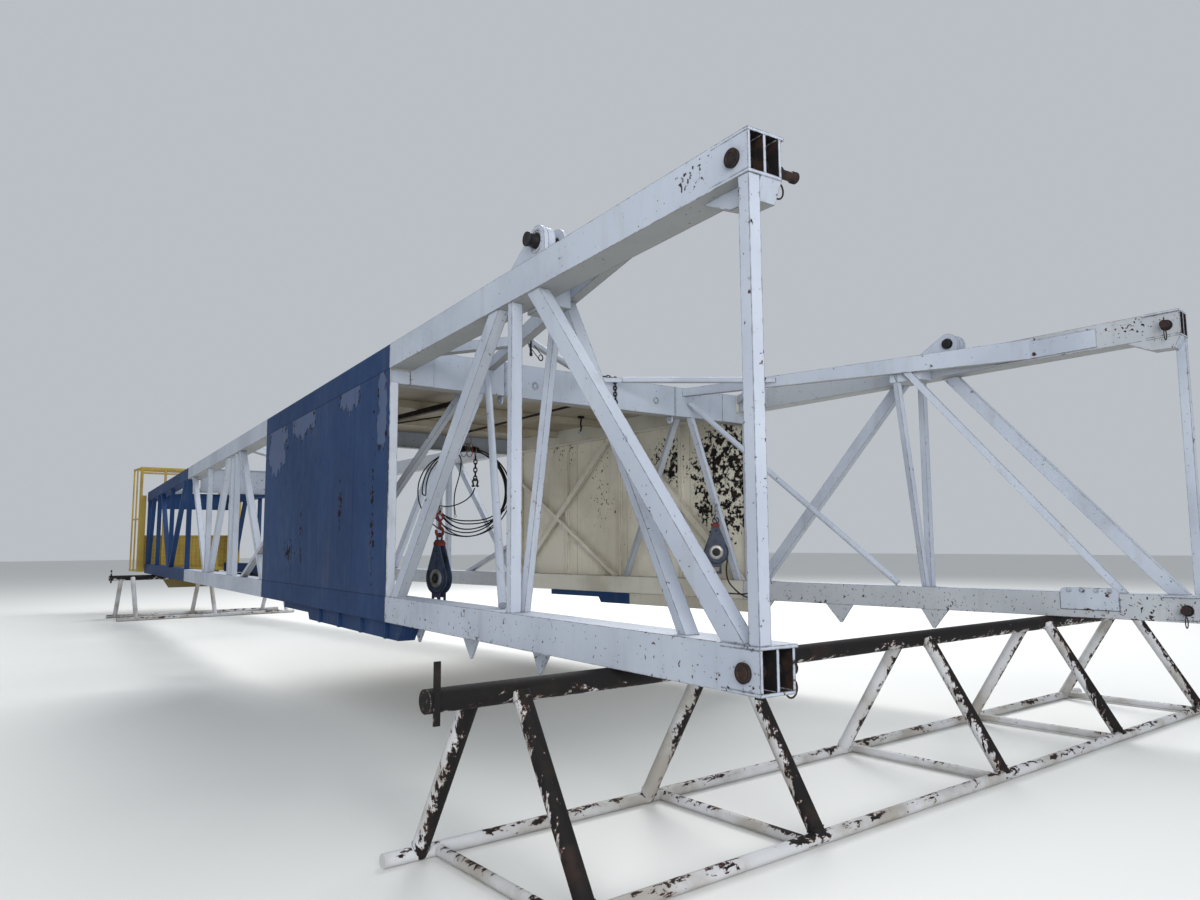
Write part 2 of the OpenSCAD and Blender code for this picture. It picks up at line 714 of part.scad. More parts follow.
module block_line() {
  steps = 4; sides = 8; last = len(line_points) - 1;
  across = [sin(right_az), cos(right_az), 0];
  path = concat([for (i = [0:last - 1], k = [0:steps - 1]) spline(line_points, i, k / steps)],
    [line_points[last]]);
  n = len(path);
  rings = [for (i = [0:n - 1])
    let (v = path[min(i + 1, n - 1)] - path[max(i - 1, 0)], u0 = cross(v, across), u = u0 / norm(u0),
      w0 = cross(v, u), w = w0 / norm(w0))
    for (k = [0:sides - 1]) path[i] + line_d / 2 * (u * cos(360 * k / sides) + w * sin(360 * k / sides))];
  color("black") mast_frame() polyhedron(points = rings, faces = concat(
    [[for (k = [0:sides - 1]) k]], [[for (k = [sides - 1:-1:0]) (n - 1) * sides + k]],
    [for (i = [0:n - 2], k = [0:sides - 1]) let (m = (k + 1) % sides)
      [i * sides + k, (i + 1) * sides + k, (i + 1) * sides + m, i * sides + m]]));
}

// Side lattice of the upper white bay
module upper_white_lattice() {
  twin = 13700; foot_a = plated_end + 190;
  steep = [[foot_a, chord_h], [twin - 535, 2500]];
  color("gainsboro") plate(15, bar_t) intersection() {
    gap2d(plated_end, splice_end);
    union() {
      bar2d(steep[0], steep[1], lattice_bar);
      difference() {
        bar2d([plated_end + 60, 850], [plated_end + 1620, chord_h], thin_bar);
        bar2d(steep[0], steep[1], lattice_bar + 2 * seat_gap);
      }
      bar2d([twin + 500, 2500], [twin + 2050, chord_h], wide_bar);
      bar2d([splice_end - 490, 2400], [twin + 2600, chord_h], lattice_bar);
      for (s = [-180, 180]) bar2d([twin + s, 0], [twin + s, foot_depth], post_bar);
      bar2d([twin + 2470, 0], [twin + 2470, foot_depth], thin_bar);
    }
  }
}
module left_upper_white_lattice() { left_side() upper_white_lattice(); }
module right_upper_white_lattice() { right_side() upper_white_lattice(); }
module crown_bay_lattice() {
  apex = splice_end + 2665;
  color("midnightblue") plate(15, bar_t) intersection() {
    gap2d(splice_end, frame_len);
    union() {
      bar2d([splice_end + 610, 2300], [apex - 155, chord_h], lattice_bar);
      bar2d([apex + 1745, 2200], [apex + 155, chord_h], lattice_bar);
      bar2d([frame_len - 1050, 2200], [frame_len - 320, chord_h], lattice_bar);
      bar2d([splice_end + 70, 0], [splice_end + 70, foot_depth], post_bar);
      bar2d([apex, 0], [apex, foot_depth], thin_bar * 0.8);
      bar2d([apex + 2345, 0], [apex + 2345, foot_depth], thin_bar);
      bar2d([frame_len - 80, 0], [frame_len - 80, foot_depth], 160);
    }
  }
}
module left_crown_bay_lattice() { left_side() crown_bay_lattice(); }
module right_crown_bay_lattice() { right_side() crown_bay_lattice(); }

module plated_end_girder() {
  color("gainsboro") mast_frame()
    cross_girder(plan_y(plated_end, 0), top_z(plated_end) - 10, 300, 160, 16);
}
module splice_girder() {
  color("gainsboro") mast_frame()
    cross_girder(plan_y(splice_end, 0) - 100, top_z(splice_end) - 10, splice_depth, 160, 16);
}
module crown_end_girder() {
  color("midnightblue") mast_frame()
    cross_girder(plan_y(frame_len, 0) - 200, top_z(frame_len) - 10, 480, 160, 16);
}
// Crossed bars in the top plane: one runs through, the other is cut to meet it
module crossed_bars(y0, y1, xl, xh) {
  intersection() {
    translate([-half_w, y0]) square([2 * half_w, y1 - y0]);
    union() {
      bar2d([-xl, y0 - 60], [xh, y1 + 60], lattice_bar);
      difference() {
        bar2d([xl, y0 - 60], [-xh, y1 + 60], lattice_bar);
        bar2d([-xl, y0 - 60], [xh, y1 + 60], lattice_bar + 2 * seat_gap);
      }
    }
  }
}
module back_bracing() {
  edge = 80; twin_y = 13650;
  xs = [for (a = [plated_end, twin_y, splice_end, frame_len]) -plan_x(a, 0)];
  color("gainsboro") mast_frame() intersection() {
    inside_prism();
    linear_extrude(height = big, center = true) {
      intersection() {
        translate([-half_w, plan_y(plated_end, 0) + edge])
          square([2 * half_w, plan_y(splice_end, 0) - 180 - plan_y(plated_end, 0) - edge]);
        union() {
          bar2d([-xs[1], twin_y - 150], [xs[2], plan_y(splice_end, 0) - 120], lattice_bar);
          bar2d([-xs[1], twin_y - 420], [xs[0], plan_y(plated_end, 0) + 160], lattice_bar);
        }
      }
      crossed_bars(plan_y(splice_end, 0) - 20, plan_y(frame_len, 0) - 280, xs[2], xs[3]);
    }
    top_slab(30, 100);
  }
}

// Ribbed boxes under the lower chords of the plated bay, each with a shallower bracket behind it
module ribbed_boxes() {
  a0 = white_end - 340; a1 = white_end + 3020; a2 = a1 + 1300; h = 180;
  color("midnightblue") both_sides() {
    plate(60, 180) polygon([[a0 + 100, -h], [a1, -h], [a1 + 60, -h / 2], [a2, -h / 2],
      [a2, 0], [a0, 0], [a0, -h / 3]]);
    for (i = [0:3]) translate([30, a0 + 400 + i * 800, -h]) cube([30, 60, h]);
  }
}
module chord_gussets() {
  t = 16;
  outlines = [[2550, 2740, 2890, 220], [3820, 4000, 4220, 230], [5050, 5230, 5390, 190]];
  color("gainsboro") both_sides() for (g = outlines)
    plate(chord_w - t - 2, t) polygon([[g[0], 0], [g[1] - 15, -g[3]], [g[1] + 15, -g[3]], [g[2], 0]]);
}

crown_y = plan_y(frame_len, 0);
crown_top = top_z(frame_len) + crown_over;
frame_bar = 60;
stile_x = 780;
module crown_frame() {
  sill = 120; z0 = 40;
  color("goldenrod") mast_frame() translate([0, crown_y, z0]) {
    translate([-crown_w / 2, 0, 0]) cube([crown_w, platform_depth(), sill]);
    for (z = [crown_top - z0 - rail_d, crown_top - z0 - rail_d - 150]) translate([-crown_w / 2, 0, z])
      cube([crown_w, platform_depth(), rail_d]);
    for (x = [-crown_w / 2, crown_w / 2 - frame_bar]) translate([x, 0, 0])
      cube([frame_bar, platform_depth(), crown_top - z0]);
    for (s = [-1, 1]) translate([s * (crown_w / 2 - 85) - 85, 0, 0]) cube([170, 12, 2250]);
    for (x = [-stile_x, stile_x]) translate([x - frame_bar / 2, 0, 0])
      cube([frame_bar, frame_bar, crown_top - z0]);
  }
}
module crown_floor() {
  color("goldenrod") mast_frame() translate([-crown_w / 2 + frame_bar + seat_gap, crown_y + frame_bar, 160])
    cube([crown_w - 2 * frame_bar - 2 * seat_gap, 30, 950]);
}
module crown_railing() {
  y0 = crown_y + platform_depth(); r = rail_d / 2; x = crown_w / 2 - r; z0 = 40 + r; z1 = crown_top - r;
  color("goldenrod") mast_frame() {
    for (s = [-1, 1], z = [z0, (z0 + z1) / 2, z1]) rod([s * x, y0, z], [s * x, y0 + rail_out - r, z], rail_d);
    for (x1 = [-x / 3, x / 3], z = [z0, z1]) rod([x1, y0, z], [x1, y0 + rail_out - r, z], rail_d);
    for (s = [-1, 1], y = [y0 + rail_out / 2, y0 + rail_out - r]) rod([s * x, y, z0], [s * x, y, z1], rail_d);
    for (z = [z0, z1], y = [y0 + rail_out / 2, y0 + rail_out - r]) rod([-x, y, z], [x, y, z], rail_d);
  }
}
module crown_apron() {
  color("goldenrod") mast_frame() translate([0, crown_y + 60, 0]) rotate([90, 0, 0])
    linear_extrude(height = 20) polygon([[-880, 40], [880, 40], [560, -450], [-560, -450]]);
}

// A cross pipe with a stop bar near its left end
module trestle_pipe(left, right, y) {
  stop = [40, 14, 355]; inset = 20;
  mast_frame() {
    translate([-left, y, -trestle_pipe_d / 2]) rotate([0, 90, 0])
      cylinder(d = trestle_pipe_d, h = left + right);
    translate([inset - left, y - (trestle_pipe_d + stop[1]) / 2, -trestle_pipe_d / 2 - stop[2] * 0.36])
      cube(stop);
  }
}
// Pairs of legs that stand on the skids and meet under the pipe
module trestle_legs(xs, y) {
  mast_frame() for (x = xs, s = [-1, 1])
    difference() {
      rod([x - s * leg_stagger, y + s * leg_spread, -deck_z + skid_d / 2],
        [x - s * leg_stagger, y + s * 60, -trestle_pipe_d / 2], trestle_leg_d);
      translate([x - 1000, y, -trestle_pipe_d / 2]) rotate([0, 90, 0]) cylinder(d = trestle_pipe_d, h = 2000);
      for (e = [-1, 1]) translate([x - 1000, y + e * leg_spread, -deck_z + skid_d / 2]) rotate([0, 90, 0])
        cylinder(d = skid_d, h = 2000);
      translate([x - 1000, y - 1000, -deck_z - 100]) cube([2000, 2000, 100]);
    }
}
module trestle_skids(xs, left, right, y) {
  inset = 100; reach = leg_spread - skid_d / 2 - seat_gap;
  mast_frame() translate([0, y, -deck_z + skid_d / 2]) {
    for (s = [-1, 1]) translate([-left + inset, s * leg_spread, 0]) rotate([0, 90, 0])
      cylinder(d = skid_d, h = left + right - 2 * inset);
    for (x = xs) translate([x, -reach, 0]) rotate([-90, 0, 0]) cylinder(d = skid_d - 16, h = 2 * reach);
  }
}
near_legs = [for (share = [0.048, 0.244, 0.494, 0.731, 0.958]) -near_left + share * (near_left + near_right)];
far_legs = [for (share = [0.09, 0.5, 0.91]) (2 * share - 1) * far_half];
module near_trestle_pipe() { color("saddlebrown") trestle_pipe(near_left, near_right, near_y); }
module near_trestle_legs() { color("silver") trestle_legs(near_legs, near_y); }
module near_trestle_skids() { color("silver") trestle_skids(near_legs, near_left, near_right, near_y); }
module far_trestle_pipe() { color("saddlebrown") trestle_pipe(far_half, far_half, far_y); }
module far_trestle_legs() { color("silver") trestle_legs(far_legs, far_y); }
module far_trestle_skids() { color("silver") trestle_skids(far_legs, far_half, far_half, far_y); }

left_lower_white_chords();
right_lower_white_chords();
left_plated_bay_chords();
right_plated_bay_chords();
left_upper_white_chords();
right_upper_white_chords();
left_crown_bay_chords();
right_crown_bay_chords();
leg_clevis_cheeks();
leg_clevis_caps();
foot_pins();
wedge_doublers();
near_end_posts();
left_outer_braces();
right_outer_braces();
inner_braces();
left_wall_plate();
right_wall_plate();
left_wall_lattice();
right_wall_lattice();
roof_plate();
roof_ribs();
portal_girder();
girder_box_ends();
girder_pad_eyes();
knee_beams();
lug_brackets();
knee_diagonals();
raising_lugs();
lug_pins();
spreader_tubes();
girder_struts();
rope_coil();
rope_hanger();
snatch_blocks();
block_rings();
block_hook();
block_line();
left_upper_white_lattice();
right_upper_white_lattice();
left_crown_bay_lattice();
right_crown_bay_lattice();
plated_end_girder();
splice_girder();
crown_end_girder();
back_bracing();
ribbed_boxes();
chord_gussets();
crown_frame();
crown_floor();
crown_railing();
crown_apron();
near_trestle_pipe();
near_trestle_legs();
near_trestle_skids();
far_trestle_pipe();
far_trestle_legs();
far_trestle_skids();
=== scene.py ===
import json
import math
import random

import bmesh
import bpy
from mathutils import Matrix, Vector


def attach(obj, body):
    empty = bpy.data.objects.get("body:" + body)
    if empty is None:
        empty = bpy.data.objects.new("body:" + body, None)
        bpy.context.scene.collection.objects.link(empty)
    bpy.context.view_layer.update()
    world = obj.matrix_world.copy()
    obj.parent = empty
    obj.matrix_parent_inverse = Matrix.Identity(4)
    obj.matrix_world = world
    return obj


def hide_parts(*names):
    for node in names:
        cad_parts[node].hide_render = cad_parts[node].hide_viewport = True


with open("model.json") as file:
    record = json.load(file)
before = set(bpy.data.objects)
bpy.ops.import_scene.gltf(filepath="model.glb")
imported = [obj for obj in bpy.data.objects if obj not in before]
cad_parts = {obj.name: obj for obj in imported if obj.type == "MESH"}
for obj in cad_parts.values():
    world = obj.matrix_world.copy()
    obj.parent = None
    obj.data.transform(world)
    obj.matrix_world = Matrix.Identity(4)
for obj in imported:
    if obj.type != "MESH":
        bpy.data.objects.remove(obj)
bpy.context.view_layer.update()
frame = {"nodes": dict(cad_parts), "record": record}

NODES = frame["nodes"]
scene = bpy.context.scene
rng = random.Random(11)
TAU = 2 * math.pi
X, Y, UP = Vector((1, 0, 0)), Vector((0, 1, 0)), Vector((0, 0, 1))

# ---------------------------------------------------------------- camera
# The photo's own camera, as the perspective fit gives it: pixels, degrees and metres
PHOTO_WIDTH, FOCAL = 1200, 874.81
YAW, PITCH, ROLL = (math.radians(v) for v in (38.4433, 6.0563, -0.3102))
CAMERA_AT = (-7.3069, -16.5480, 2.0058)
SENSOR = 36


def add_camera():
    flat = math.cos(PITCH)
    look = Vector((math.sin(YAW) * flat, math.cos(YAW) * flat, math.sin(PITCH)))
    side = Vector((math.cos(YAW), -math.sin(YAW), 0))
    over = side.cross(look)
    right = side * math.cos(ROLL) + over * math.sin(ROLL)
    above = over * math.cos(ROLL) - side * math.sin(ROLL)
    data = bpy.data.cameras.new("camera")
    data.sensor_width = SENSOR
    data.lens = FOCAL / PHOTO_WIDTH * SENSOR
    data.clip_end = 500
    cam = bpy.data.objects.new("camera", data)
    turned = Matrix((right, above, -look)).transposed().to_4x4()
    cam.matrix_world = Matrix.Translation(CAMERA_AT) @ turned
    scene.collection.objects.link(cam)
    scene.camera = cam


add_camera()

# ---------------------------------------------------------------- the mast's measures, in metres
PLAN = math.radians(4.64)                # angle of each leg to the middle plane
CP, SP = math.cos(PLAN), math.sin(PLAN)
LEN, HALF_W, CHORD_W, CHORD_H = 25.75, 3.33, 0.26, 0.265
DEPTH, SLOPE = 3.14, 0.76 / LEN          # at the foot, and how fast it falls to the crown
WHITE_END, PLATED_END, SPLICE_END = 5.58, 11.08, 18.59   # ends of the bays, along a leg
PLATFORM, DECK = 1.13, 1.19              # crown platform with its rail, chords over the ground
ORIGIN = Vector((-0.41, -(LEN * CP + PLATFORM) / 2, DECK))
CHEEK, CLEVIS_END = 0.02, 0.33           # clevis plates: thickness, and where the chord begins
PIN_AT, PIN_RISE = 0.12, 0.118           # foot pins
LUG_AT, LUG_RISE = 2.42, 0.125           # pins of the raising lugs
ROOF_DROP, ROOF_PLATE, RIB_DEPTH = 0.02, 0.01, 0.11
TRESTLE_AT, PIPE_Z = 1.42, -0.07         # near cross pipe


def plan(a, o):
    return -HALF_W + o * CP + a * SP, a * CP - o * SP


def top(a):
    return DEPTH - SLOPE * a


def mast(x, y, z):
    return ORIGIN + Vector((x, y, z))


def leg(s, a, o, z):
    """Point of the left (s = 1) or right (s = -1) frame: along, in from its outer face, up."""
    x, y = plan(a, o)
    return mast(s * x, y, z)


def along(s):
    return Vector((s * SP, CP, 0))


def inward(s):
    return Vector((s * CP, -SP, 0))


# ---------------------------------------------------------------- materials
MIX_A, MIX_B, MIX_OUT = 6, 7, 2          # the colour sockets of a Mix node


def srgb(*rgb):
    return tuple(((v / 255 + 0.055) / 1.055) ** 2.4 if v > 10 else v / 255 / 12.92 for v in rgb)


class Mat:
    """A node material and short ways to wire it."""

    def __init__(self, name):
        self.m = bpy.data.materials.new(name)
        self.m.use_nodes = True
        self.t = self.m.node_tree
        self.bsdf = self.t.nodes["Principled BSDF"]
        self.geo = self.new("ShaderNodeNewGeometry")
        self.pos = self.split(self.geo.outputs["Position"])
        self.nor = self.split(self.geo.outputs["Normal"])

    def new(self, kind, **props):
        n = self.t.nodes.new(kind)
        for k, v in props.items():
            setattr(n, k, v)
        return n

    def put(self, socket, value):
        if isinstance(value, bpy.types.NodeSocket):
            self.t.links.new(value, socket)
        else:
            socket.default_value = value

    def split(self, vec):
        n = self.new("ShaderNodeSeparateXYZ")
        self.put(n.inputs[0], vec)
        return n.outputs

    def math(self, op, a, b=0.0, clamp=False):
        n = self.new("ShaderNodeMath", operation=op, use_clamp=clamp)
        self.put(n.inputs[0], a)
        self.put(n.inputs[1], b)
        return n.outputs[0]

    def add(self, *values):
        out = values[0]
        for v in values[1:]:
            out = self.math("ADD", out, v)
        return out

    def peak(self, *values):
        out = values[0]
        for v in values[1:]:
            out = self.math("MAXIMUM", out, v)
        return out

    def sub(self, a, b, clamp=False):
        return self.math("SUBTRACT", a, b, clamp)

    def flip(self, a):
        return self.sub(1.0, a)

    def mul(self, a, b):
        return self.math("MULTIPLY", a, b)

    def over(self, a, b):
        return self.math("GREATER_THAN", a, b)

    def under(self, a, b):
        return self.math("LESS_THAN", a, b)

    def mix(self, fac, a, b):
        n = self.new("ShaderNodeMix", data_type="RGBA")
        self.put(n.inputs["Factor"], fac)
        self.put(n.inputs[MIX_A], a if isinstance(a, bpy.types.NodeSocket) else (*a, 1))
        self.put(n.inputs[MIX_B], b if isinstance(b, bpy.types.NodeSocket) else (*b, 1))
        return n.outputs[MIX_OUT]

    def noise(self, scale, detail=5.0, rough=0.55, stretch=(1, 1, 1), shift=(0, 0, 0),
              distortion=0.0):
        m = self.new("ShaderNodeMapping")
        self.put(m.inputs["Vector"], self.geo.outputs["Position"])
        m.inputs["Location"].default_value = shift
        m.inputs["Scale"].default_value = stretch
        n = self.new("ShaderNodeTexNoise")
        self.put(n.inputs["Vector"], m.outputs[0])
        n.inputs["Scale"].default_value = scale
        n.inputs["Detail"].default_value = detail
        n.inputs["Roughness"].default_value = rough
        n.inputs["Distortion"].default_value = distortion
        return n.outputs[0]

    def step(self, value, lo, hi):
        n = self.new("ShaderNodeMapRange", interpolation_type="SMOOTHSTEP")
        self.put(n.inputs["Value"], value)
        n.inputs["From Min"].default_value = lo
        n.inputs["From Max"].default_value = hi
        return n.outputs[0]

    def band(self, value, rise, fall):
        """1 between a rising and a falling step."""
        return self.mul(self.step(value, *rise), self.flip(self.step(value, *fall)))

    def edge(self, radius):
        """Above 0 along edges."""
        n = self.new("ShaderNodeBevel", samples=4)
        n.inputs["Radius"].default_value = radius
        d = self.new("ShaderNodeVectorMath", operation="DOT_PRODUCT")
        self.put(d.inputs[0], n.outputs[0])
        self.put(d.inputs[1], self.geo.outputs["Normal"])
        return self.flip(d.outputs["Value"])

    def legs(self):
        """Distance along the nearer leg, depth inward from its outer face, height in the mast."""
        u = self.sub(HALF_W, self.math("ABSOLUTE", self.sub(self.pos[0], ORIGIN.x)))
        v = self.sub(self.pos[1], ORIGIN.y)
        a = self.add(self.mul(u, SP), self.mul(v, CP))
        o = self.sub(self.mul(u, CP), self.mul(v, SP))
        return a, o, self.sub(self.pos[2], ORIGIN.z)

    def spot(self, u, v, cu, cv, ru, rv):
        """1 at the middle of an ellipse in u, v, fading to 0 at its rim."""
        du = self.mul(self.sub(u, cu), 1 / ru)
        dv = self.mul(self.sub(v, cv), 1 / rv)
        return self.sub(1.0, self.add(self.mul(du, du), self.mul(dv, dv)), clamp=True)

    def spots(self, u, v, *rows):
        return self.add(*(self.spot(u, v, *row) for row in rows))

    def finish(self, col, rough, bare, depth=0.0015, shine=0.25):
        """Colour, roughness and a fine bump that sinks where the paint is off."""
        self.put(self.bsdf.inputs["Base Color"], col)
        self.put(self.bsdf.inputs["Roughness"], rough)
        self.put(self.bsdf.inputs["Specular IOR Level"], shine)
        bump = self.new("ShaderNodeBump")
        bump.inputs["Strength"].default_value = 0.5
        bump.inputs["Distance"].default_value = depth
        height = self.sub(self.mul(self.noise(40, 2), 0.10), bare)
        self.put(bump.inputs["Height"], height)
        self.put(self.bsdf.inputs["Normal"], bump.outputs[0])
        return self.m


STEEL_DARK = srgb(27, 24, 24)
RUST = srgb(84, 54, 38)
GRIME = srgb(112, 104, 94)
NAVY = srgb(28, 52, 90), srgb(35, 61, 100)


def worn(k, base, chips, dirty, rough, extra=None, edges=1.0, grain=13.0,
         shine=0.25, under=(STEEL_DARK, RUST), warp=0.6):
    """Old gloss paint over base: rain streaks, grime, and flakes off down to under.

    chips and dirty set the amounts, extra adds to the flaking in places, edges scales the wear
    of edges, and grain and warp give the flakes their size and how far they are drawn out.
    """
    streak = k.step(k.noise(7, 4, 0.6, (1, 1, 0.12)), 0.5, 0.8)
    grime = k.step(k.noise(1.7, 7, 0.62), 0.66 - dirty * 0.25, 0.92)
    soil = k.add(k.mul(streak, 0.28), k.mul(grime, 0.6))
    col = k.mix(k.mul(soil, min(1.0, 0.35 + dirty)), base, GRIME)
    where = k.step(k.noise(1.3, 3), 0.42, 0.7)
    flake = k.add(k.noise(grain, 5, 0.62, distortion=warp), k.mul(where, 0.10),
                  k.mul(k.mul(k.edge(0.016), 0.90), edges))
    fine = k.noise(grain * 2.0, 2, 0.45, shift=(3, 1, 7))
    if extra is not None:
        flake, fine = k.add(flake, extra), k.add(fine, extra)
    flake = k.peak(flake, k.add(fine, 0.005))
    lo = 0.865 - chips * 0.11
    bare = k.step(flake, lo, lo + 0.015)
    rim = k.step(flake, lo - 0.035, lo + 0.005)
    col = k.mix(k.mul(rim, 0.45), col, under[1])
    steel = k.mix(k.step(k.noise(11, 3, 0.5), 0.46, 0.66), *under)
    col = k.mix(bare, col, steel)
    r = k.add(k.mul(k.noise(5, 4), 0.22), rough - 0.1)
    return k.finish(col, k.peak(r, k.mul(bare, 0.9)), bare, shine=shine)


def two_tone(k, one, other, scale=0.8):
    """Broad clouds of two near tones."""
    return k.mix(k.step(k.noise(scale, 4), 0.38, 0.66), one, other)


def white_paint(name="white_paint", slotted=False):
    """Chipped white with a scratched patch, a warmer grey on the chords' inner faces, and painted
    shade on faces turned down.

    slotted blackens the inside of the clevis slots.
    """
    k = Mat(name)
    a, o, z = k.legs()
    inner = k.band(o, (0.252, 0.258), (0.268, 0.272))
    base = two_tone(k, srgb(174, 181, 193), srgb(160, 167, 180))
    base = k.mix(k.mul(inner, 0.35), base, srgb(160, 158, 150))
    # Painted shade: faces turned down are darkened towards a warm grey.
    shade = k.step(k.mul(k.nor[2], -1), 0.5, 0.9)
    base = k.mix(k.mul(shade, 0.7), base, srgb(128, 126, 116))
    low = k.mul(k.flip(k.step(z, 0.06, 0.5)), 0.035)
    end = k.flip(k.step(a, 0.2, 1.2))
    scratched = k.spot(a, z, 0.48, 3.02, 0.26, 0.12)
    extra = k.add(low, k.mul(inner, 0.02), k.mul(scratched, 0.11), k.mul(end, 0.02))
    if slotted:
        slot = k.mul(k.band(o, (0.004, 0.012), (0.248, 0.254)), k.step(a, 0.0005, 0.004))
        within = []
        for floor in (0.0, k.sub(DEPTH - CHORD_H, k.mul(a, SLOPE))):
            within.append(k.band(k.sub(z, floor), (0.006, 0.010), (0.255, 0.259)))
        extra = k.add(extra, k.mul(k.mul(slot, k.peak(*within)), 0.6))
    off_seam = k.step(k.math("ABSOLUTE", k.sub(a, CLEVIS_END)), 0.012, 0.024)
    under = STEEL_DARK, srgb(70, 47, 36)
    if slotted:
        under = srgb(20, 18, 18), srgb(50, 35, 29)
    return worn(k, base, chips=1.05, dirty=0.32, rough=0.58, extra=extra, edges=off_seam,
                grain=17, under=under)


def navy_paint(name="navy_paint", lined=None):
    """Navy; lined names what is cream on its inner side: the chords of a "bay", or a "box"."""
    k = Mat(name)
    base = two_tone(k, *NAVY, 0.6)
    a, o, z = k.legs()
    if lined == "bay":
        side = k.step(o, 0.252, 0.256)
        below = k.mul(k.under(k.nor[2], -0.5), k.over(z, 1.5))
        above = k.mul(k.over(k.nor[2], 0.5), k.under(z, 1.0))
        inside = k.mul(k.peak(side, below, above), k.step(o, 0.008, 0.012))
        base = k.mix(inside, base, two_tone(k, srgb(200, 198, 188), srgb(176, 172, 160)))
    elif lined == "box":
        right = k.over(k.pos[0], ORIGIN.x)
        inside = k.mul(right, k.flip(k.step(a, 7.90, 7.93)))
        base = k.mix(inside, base, two_tone(k, srgb(190, 187, 175), srgb(166, 160, 147)))
    return worn(k, base, chips=0.85, dirty=0.14, rough=0.6, grain=14, shine=0.1,
                under=(srgb(22, 26, 40), srgb(44, 44, 54)))


def wall_paint():
    """Navy outside with chalky flakes under the upper chord, peeling cream inside.

    Each patch is given by its middle along the leg and up, and its half length and half height.
    """
    k = Mat("wall_paint")
    a, o, z = k.legs()
    high = k.spots(a, z, (10.35, 2.33, 0.75, 0.62), (8.95, 2.55, 0.75, 0.36),
                   (6.95, 2.62, 0.55, 0.30), (5.80, 2.35, 0.22, 0.75))
    ragged = k.add(high, k.mul(k.add(k.noise(5, 6, 0.62, (1, 1, 0.8)), -0.5), 1.9))
    near = k.over(high, 0.02)
    chalk = k.mul(k.mul(k.step(ragged, 0.50, 0.53), near), 0.6)
    rain = k.step(k.noise(6, 3, 0.5, (1, 1, 0.06)), 0.5, 0.75)
    navy = two_tone(k, *NAVY, 0.6)
    navy = k.mix(k.mul(rain, 0.16), navy, srgb(56, 76, 116))
    navy = k.mix(chalk, navy, srgb(92, 104, 132))
    cream = two_tone(k, srgb(216, 212, 199), srgb(194, 189, 174))
    inside = k.step(o, 0.003, 0.006)
    outside = k.flip(inside)
    base = k.mix(inside, navy, cream)
    lines = k.spots(a, z, (6.05, 1.3, 0.12, 1.6), (7.2, 1.25, 0.1, 0.5),
                    (8.9, 0.95, 0.14, 0.75), (9.5, 0.7, 0.5, 0.3))
    rims = k.band(ragged, (0.34, 0.48), (0.52, 0.62))
    outer = k.add(k.mul(k.mul(lines, 0.20), outside),
                  k.mul(k.mul(k.mul(rims, near), 0.22), outside))
    peeled = ((1.9, 6.10, 1.75, 0.80, 1.15), (1.2, 7.25, 2.1, 0.55, 0.65),
              (0.68, 8.82, 1.8, 0.45, 1.3), (0.75, 9.75, 2.5, 0.55, 0.45),
              (0.6, 7.9, 1.6, 0.45, 0.9))
    peel = k.add(*(k.mul(k.spot(a, z, *where), amount) for amount, *where in peeled))
    big = k.mul(k.noise(7.5, 7, 0.72, (1, 1, 0.9)), 0.42)
    lining = k.add(k.mul(k.math("MINIMUM", peel, 1.0), 0.265), big, -0.25)
    return worn(k, base, chips=0.7, dirty=0.24, rough=0.6,
                extra=k.add(outer, k.mul(lining, inside)), grain=10, shine=0.12,
                under=(srgb(24, 22, 23), srgb(46, 36, 32)), warp=0.0)


def cream_paint(name="cream_paint", one=srgb(214, 210, 197), other=srgb(190, 184, 170),
                white_end=False):
    """Peeling cream with painted shade, a dark brown, on faces turned down; white_end paints the
    lattice's first post white.
    """
    k = Mat(name)
    base = two_tone(k, one, other)
    # Painted shade: faces turned down are darkened towards a dark brown.
    shade_below = k.mul(k.step(k.mul(k.nor[2], -1), 0.5, 0.9), 0.6)
    base = k.mix(shade_below, base, srgb(98, 88, 74))
    if white_end:
        a = k.legs()[0]
        base = k.mix(k.under(a, WHITE_END + 0.082), base, srgb(170, 176, 186))
    return worn(k, base, chips=0.9, dirty=0.5, rough=0.55, grain=10)


def yellow_paint(name="yellow_paint", one=srgb(172, 147, 66), other=srgb(144, 120, 54)):
    k = Mat(name)
    return worn(k, two_tone(k, one, other), chips=0.85, dirty=0.5, rough=0.5)


def bare_pipe(name, keep, legs=False):
    """Blackened pipe: keep is how much of its old white paint is left.

    The legs have most of it on the side turned away, and on those behind the cross pipe.
    """
    k = Mat(name)
    steel = k.mix(k.step(k.noise(3, 5, 0.6), 0.50, 0.78), srgb(18, 16, 17), srgb(46, 33, 28))
    steel = k.mix(k.mul(k.step(k.noise(22, 4), 0.55, 0.75), 0.6), steel, srgb(14, 13, 14))
    paint = two_tone(k, srgb(186, 187, 190), srgb(150, 146, 140), 2.0)
    away = k.add(k.mul(k.nor[0], -0.78), k.mul(k.nor[1], 0.62))
    if legs:
        behind = k.sub(k.pos[1], ORIGIN.y + TRESTLE_AT)
        first = k.under(k.pos[0], ORIGIN.x - 3.95)
        bias = k.add(k.mul(away, 0.13), k.mul(behind, 0.13), k.mul(first, -0.07))
        grain = k.noise(26, 6, 0.72, (1, 1, 0.4), distortion=0.3)
    else:
        bias = k.mul(k.add(k.mul(k.nor[2], -0.9), k.mul(away, 0.4)), 0.09)
        grain = k.noise(20, 6, 0.68, (0.5, 1, 1), distortion=0.5)
    cover = k.add(k.mul(k.noise(2.2, 3), 0.40), k.mul(grain, 0.72), bias)
    lo = 0.745 - keep * 0.36
    on = k.step(cover, lo, lo + 0.015)
    col = k.mix(on, steel, paint)
    off = k.flip(on)
    rim = k.mul(k.step(cover, lo - 0.03, lo), off)
    col = k.mix(k.mul(rim, 0.5), col, srgb(96, 58, 38))
    return k.finish(col, k.add(0.5, k.mul(off, 0.3)), off, depth=0.002)


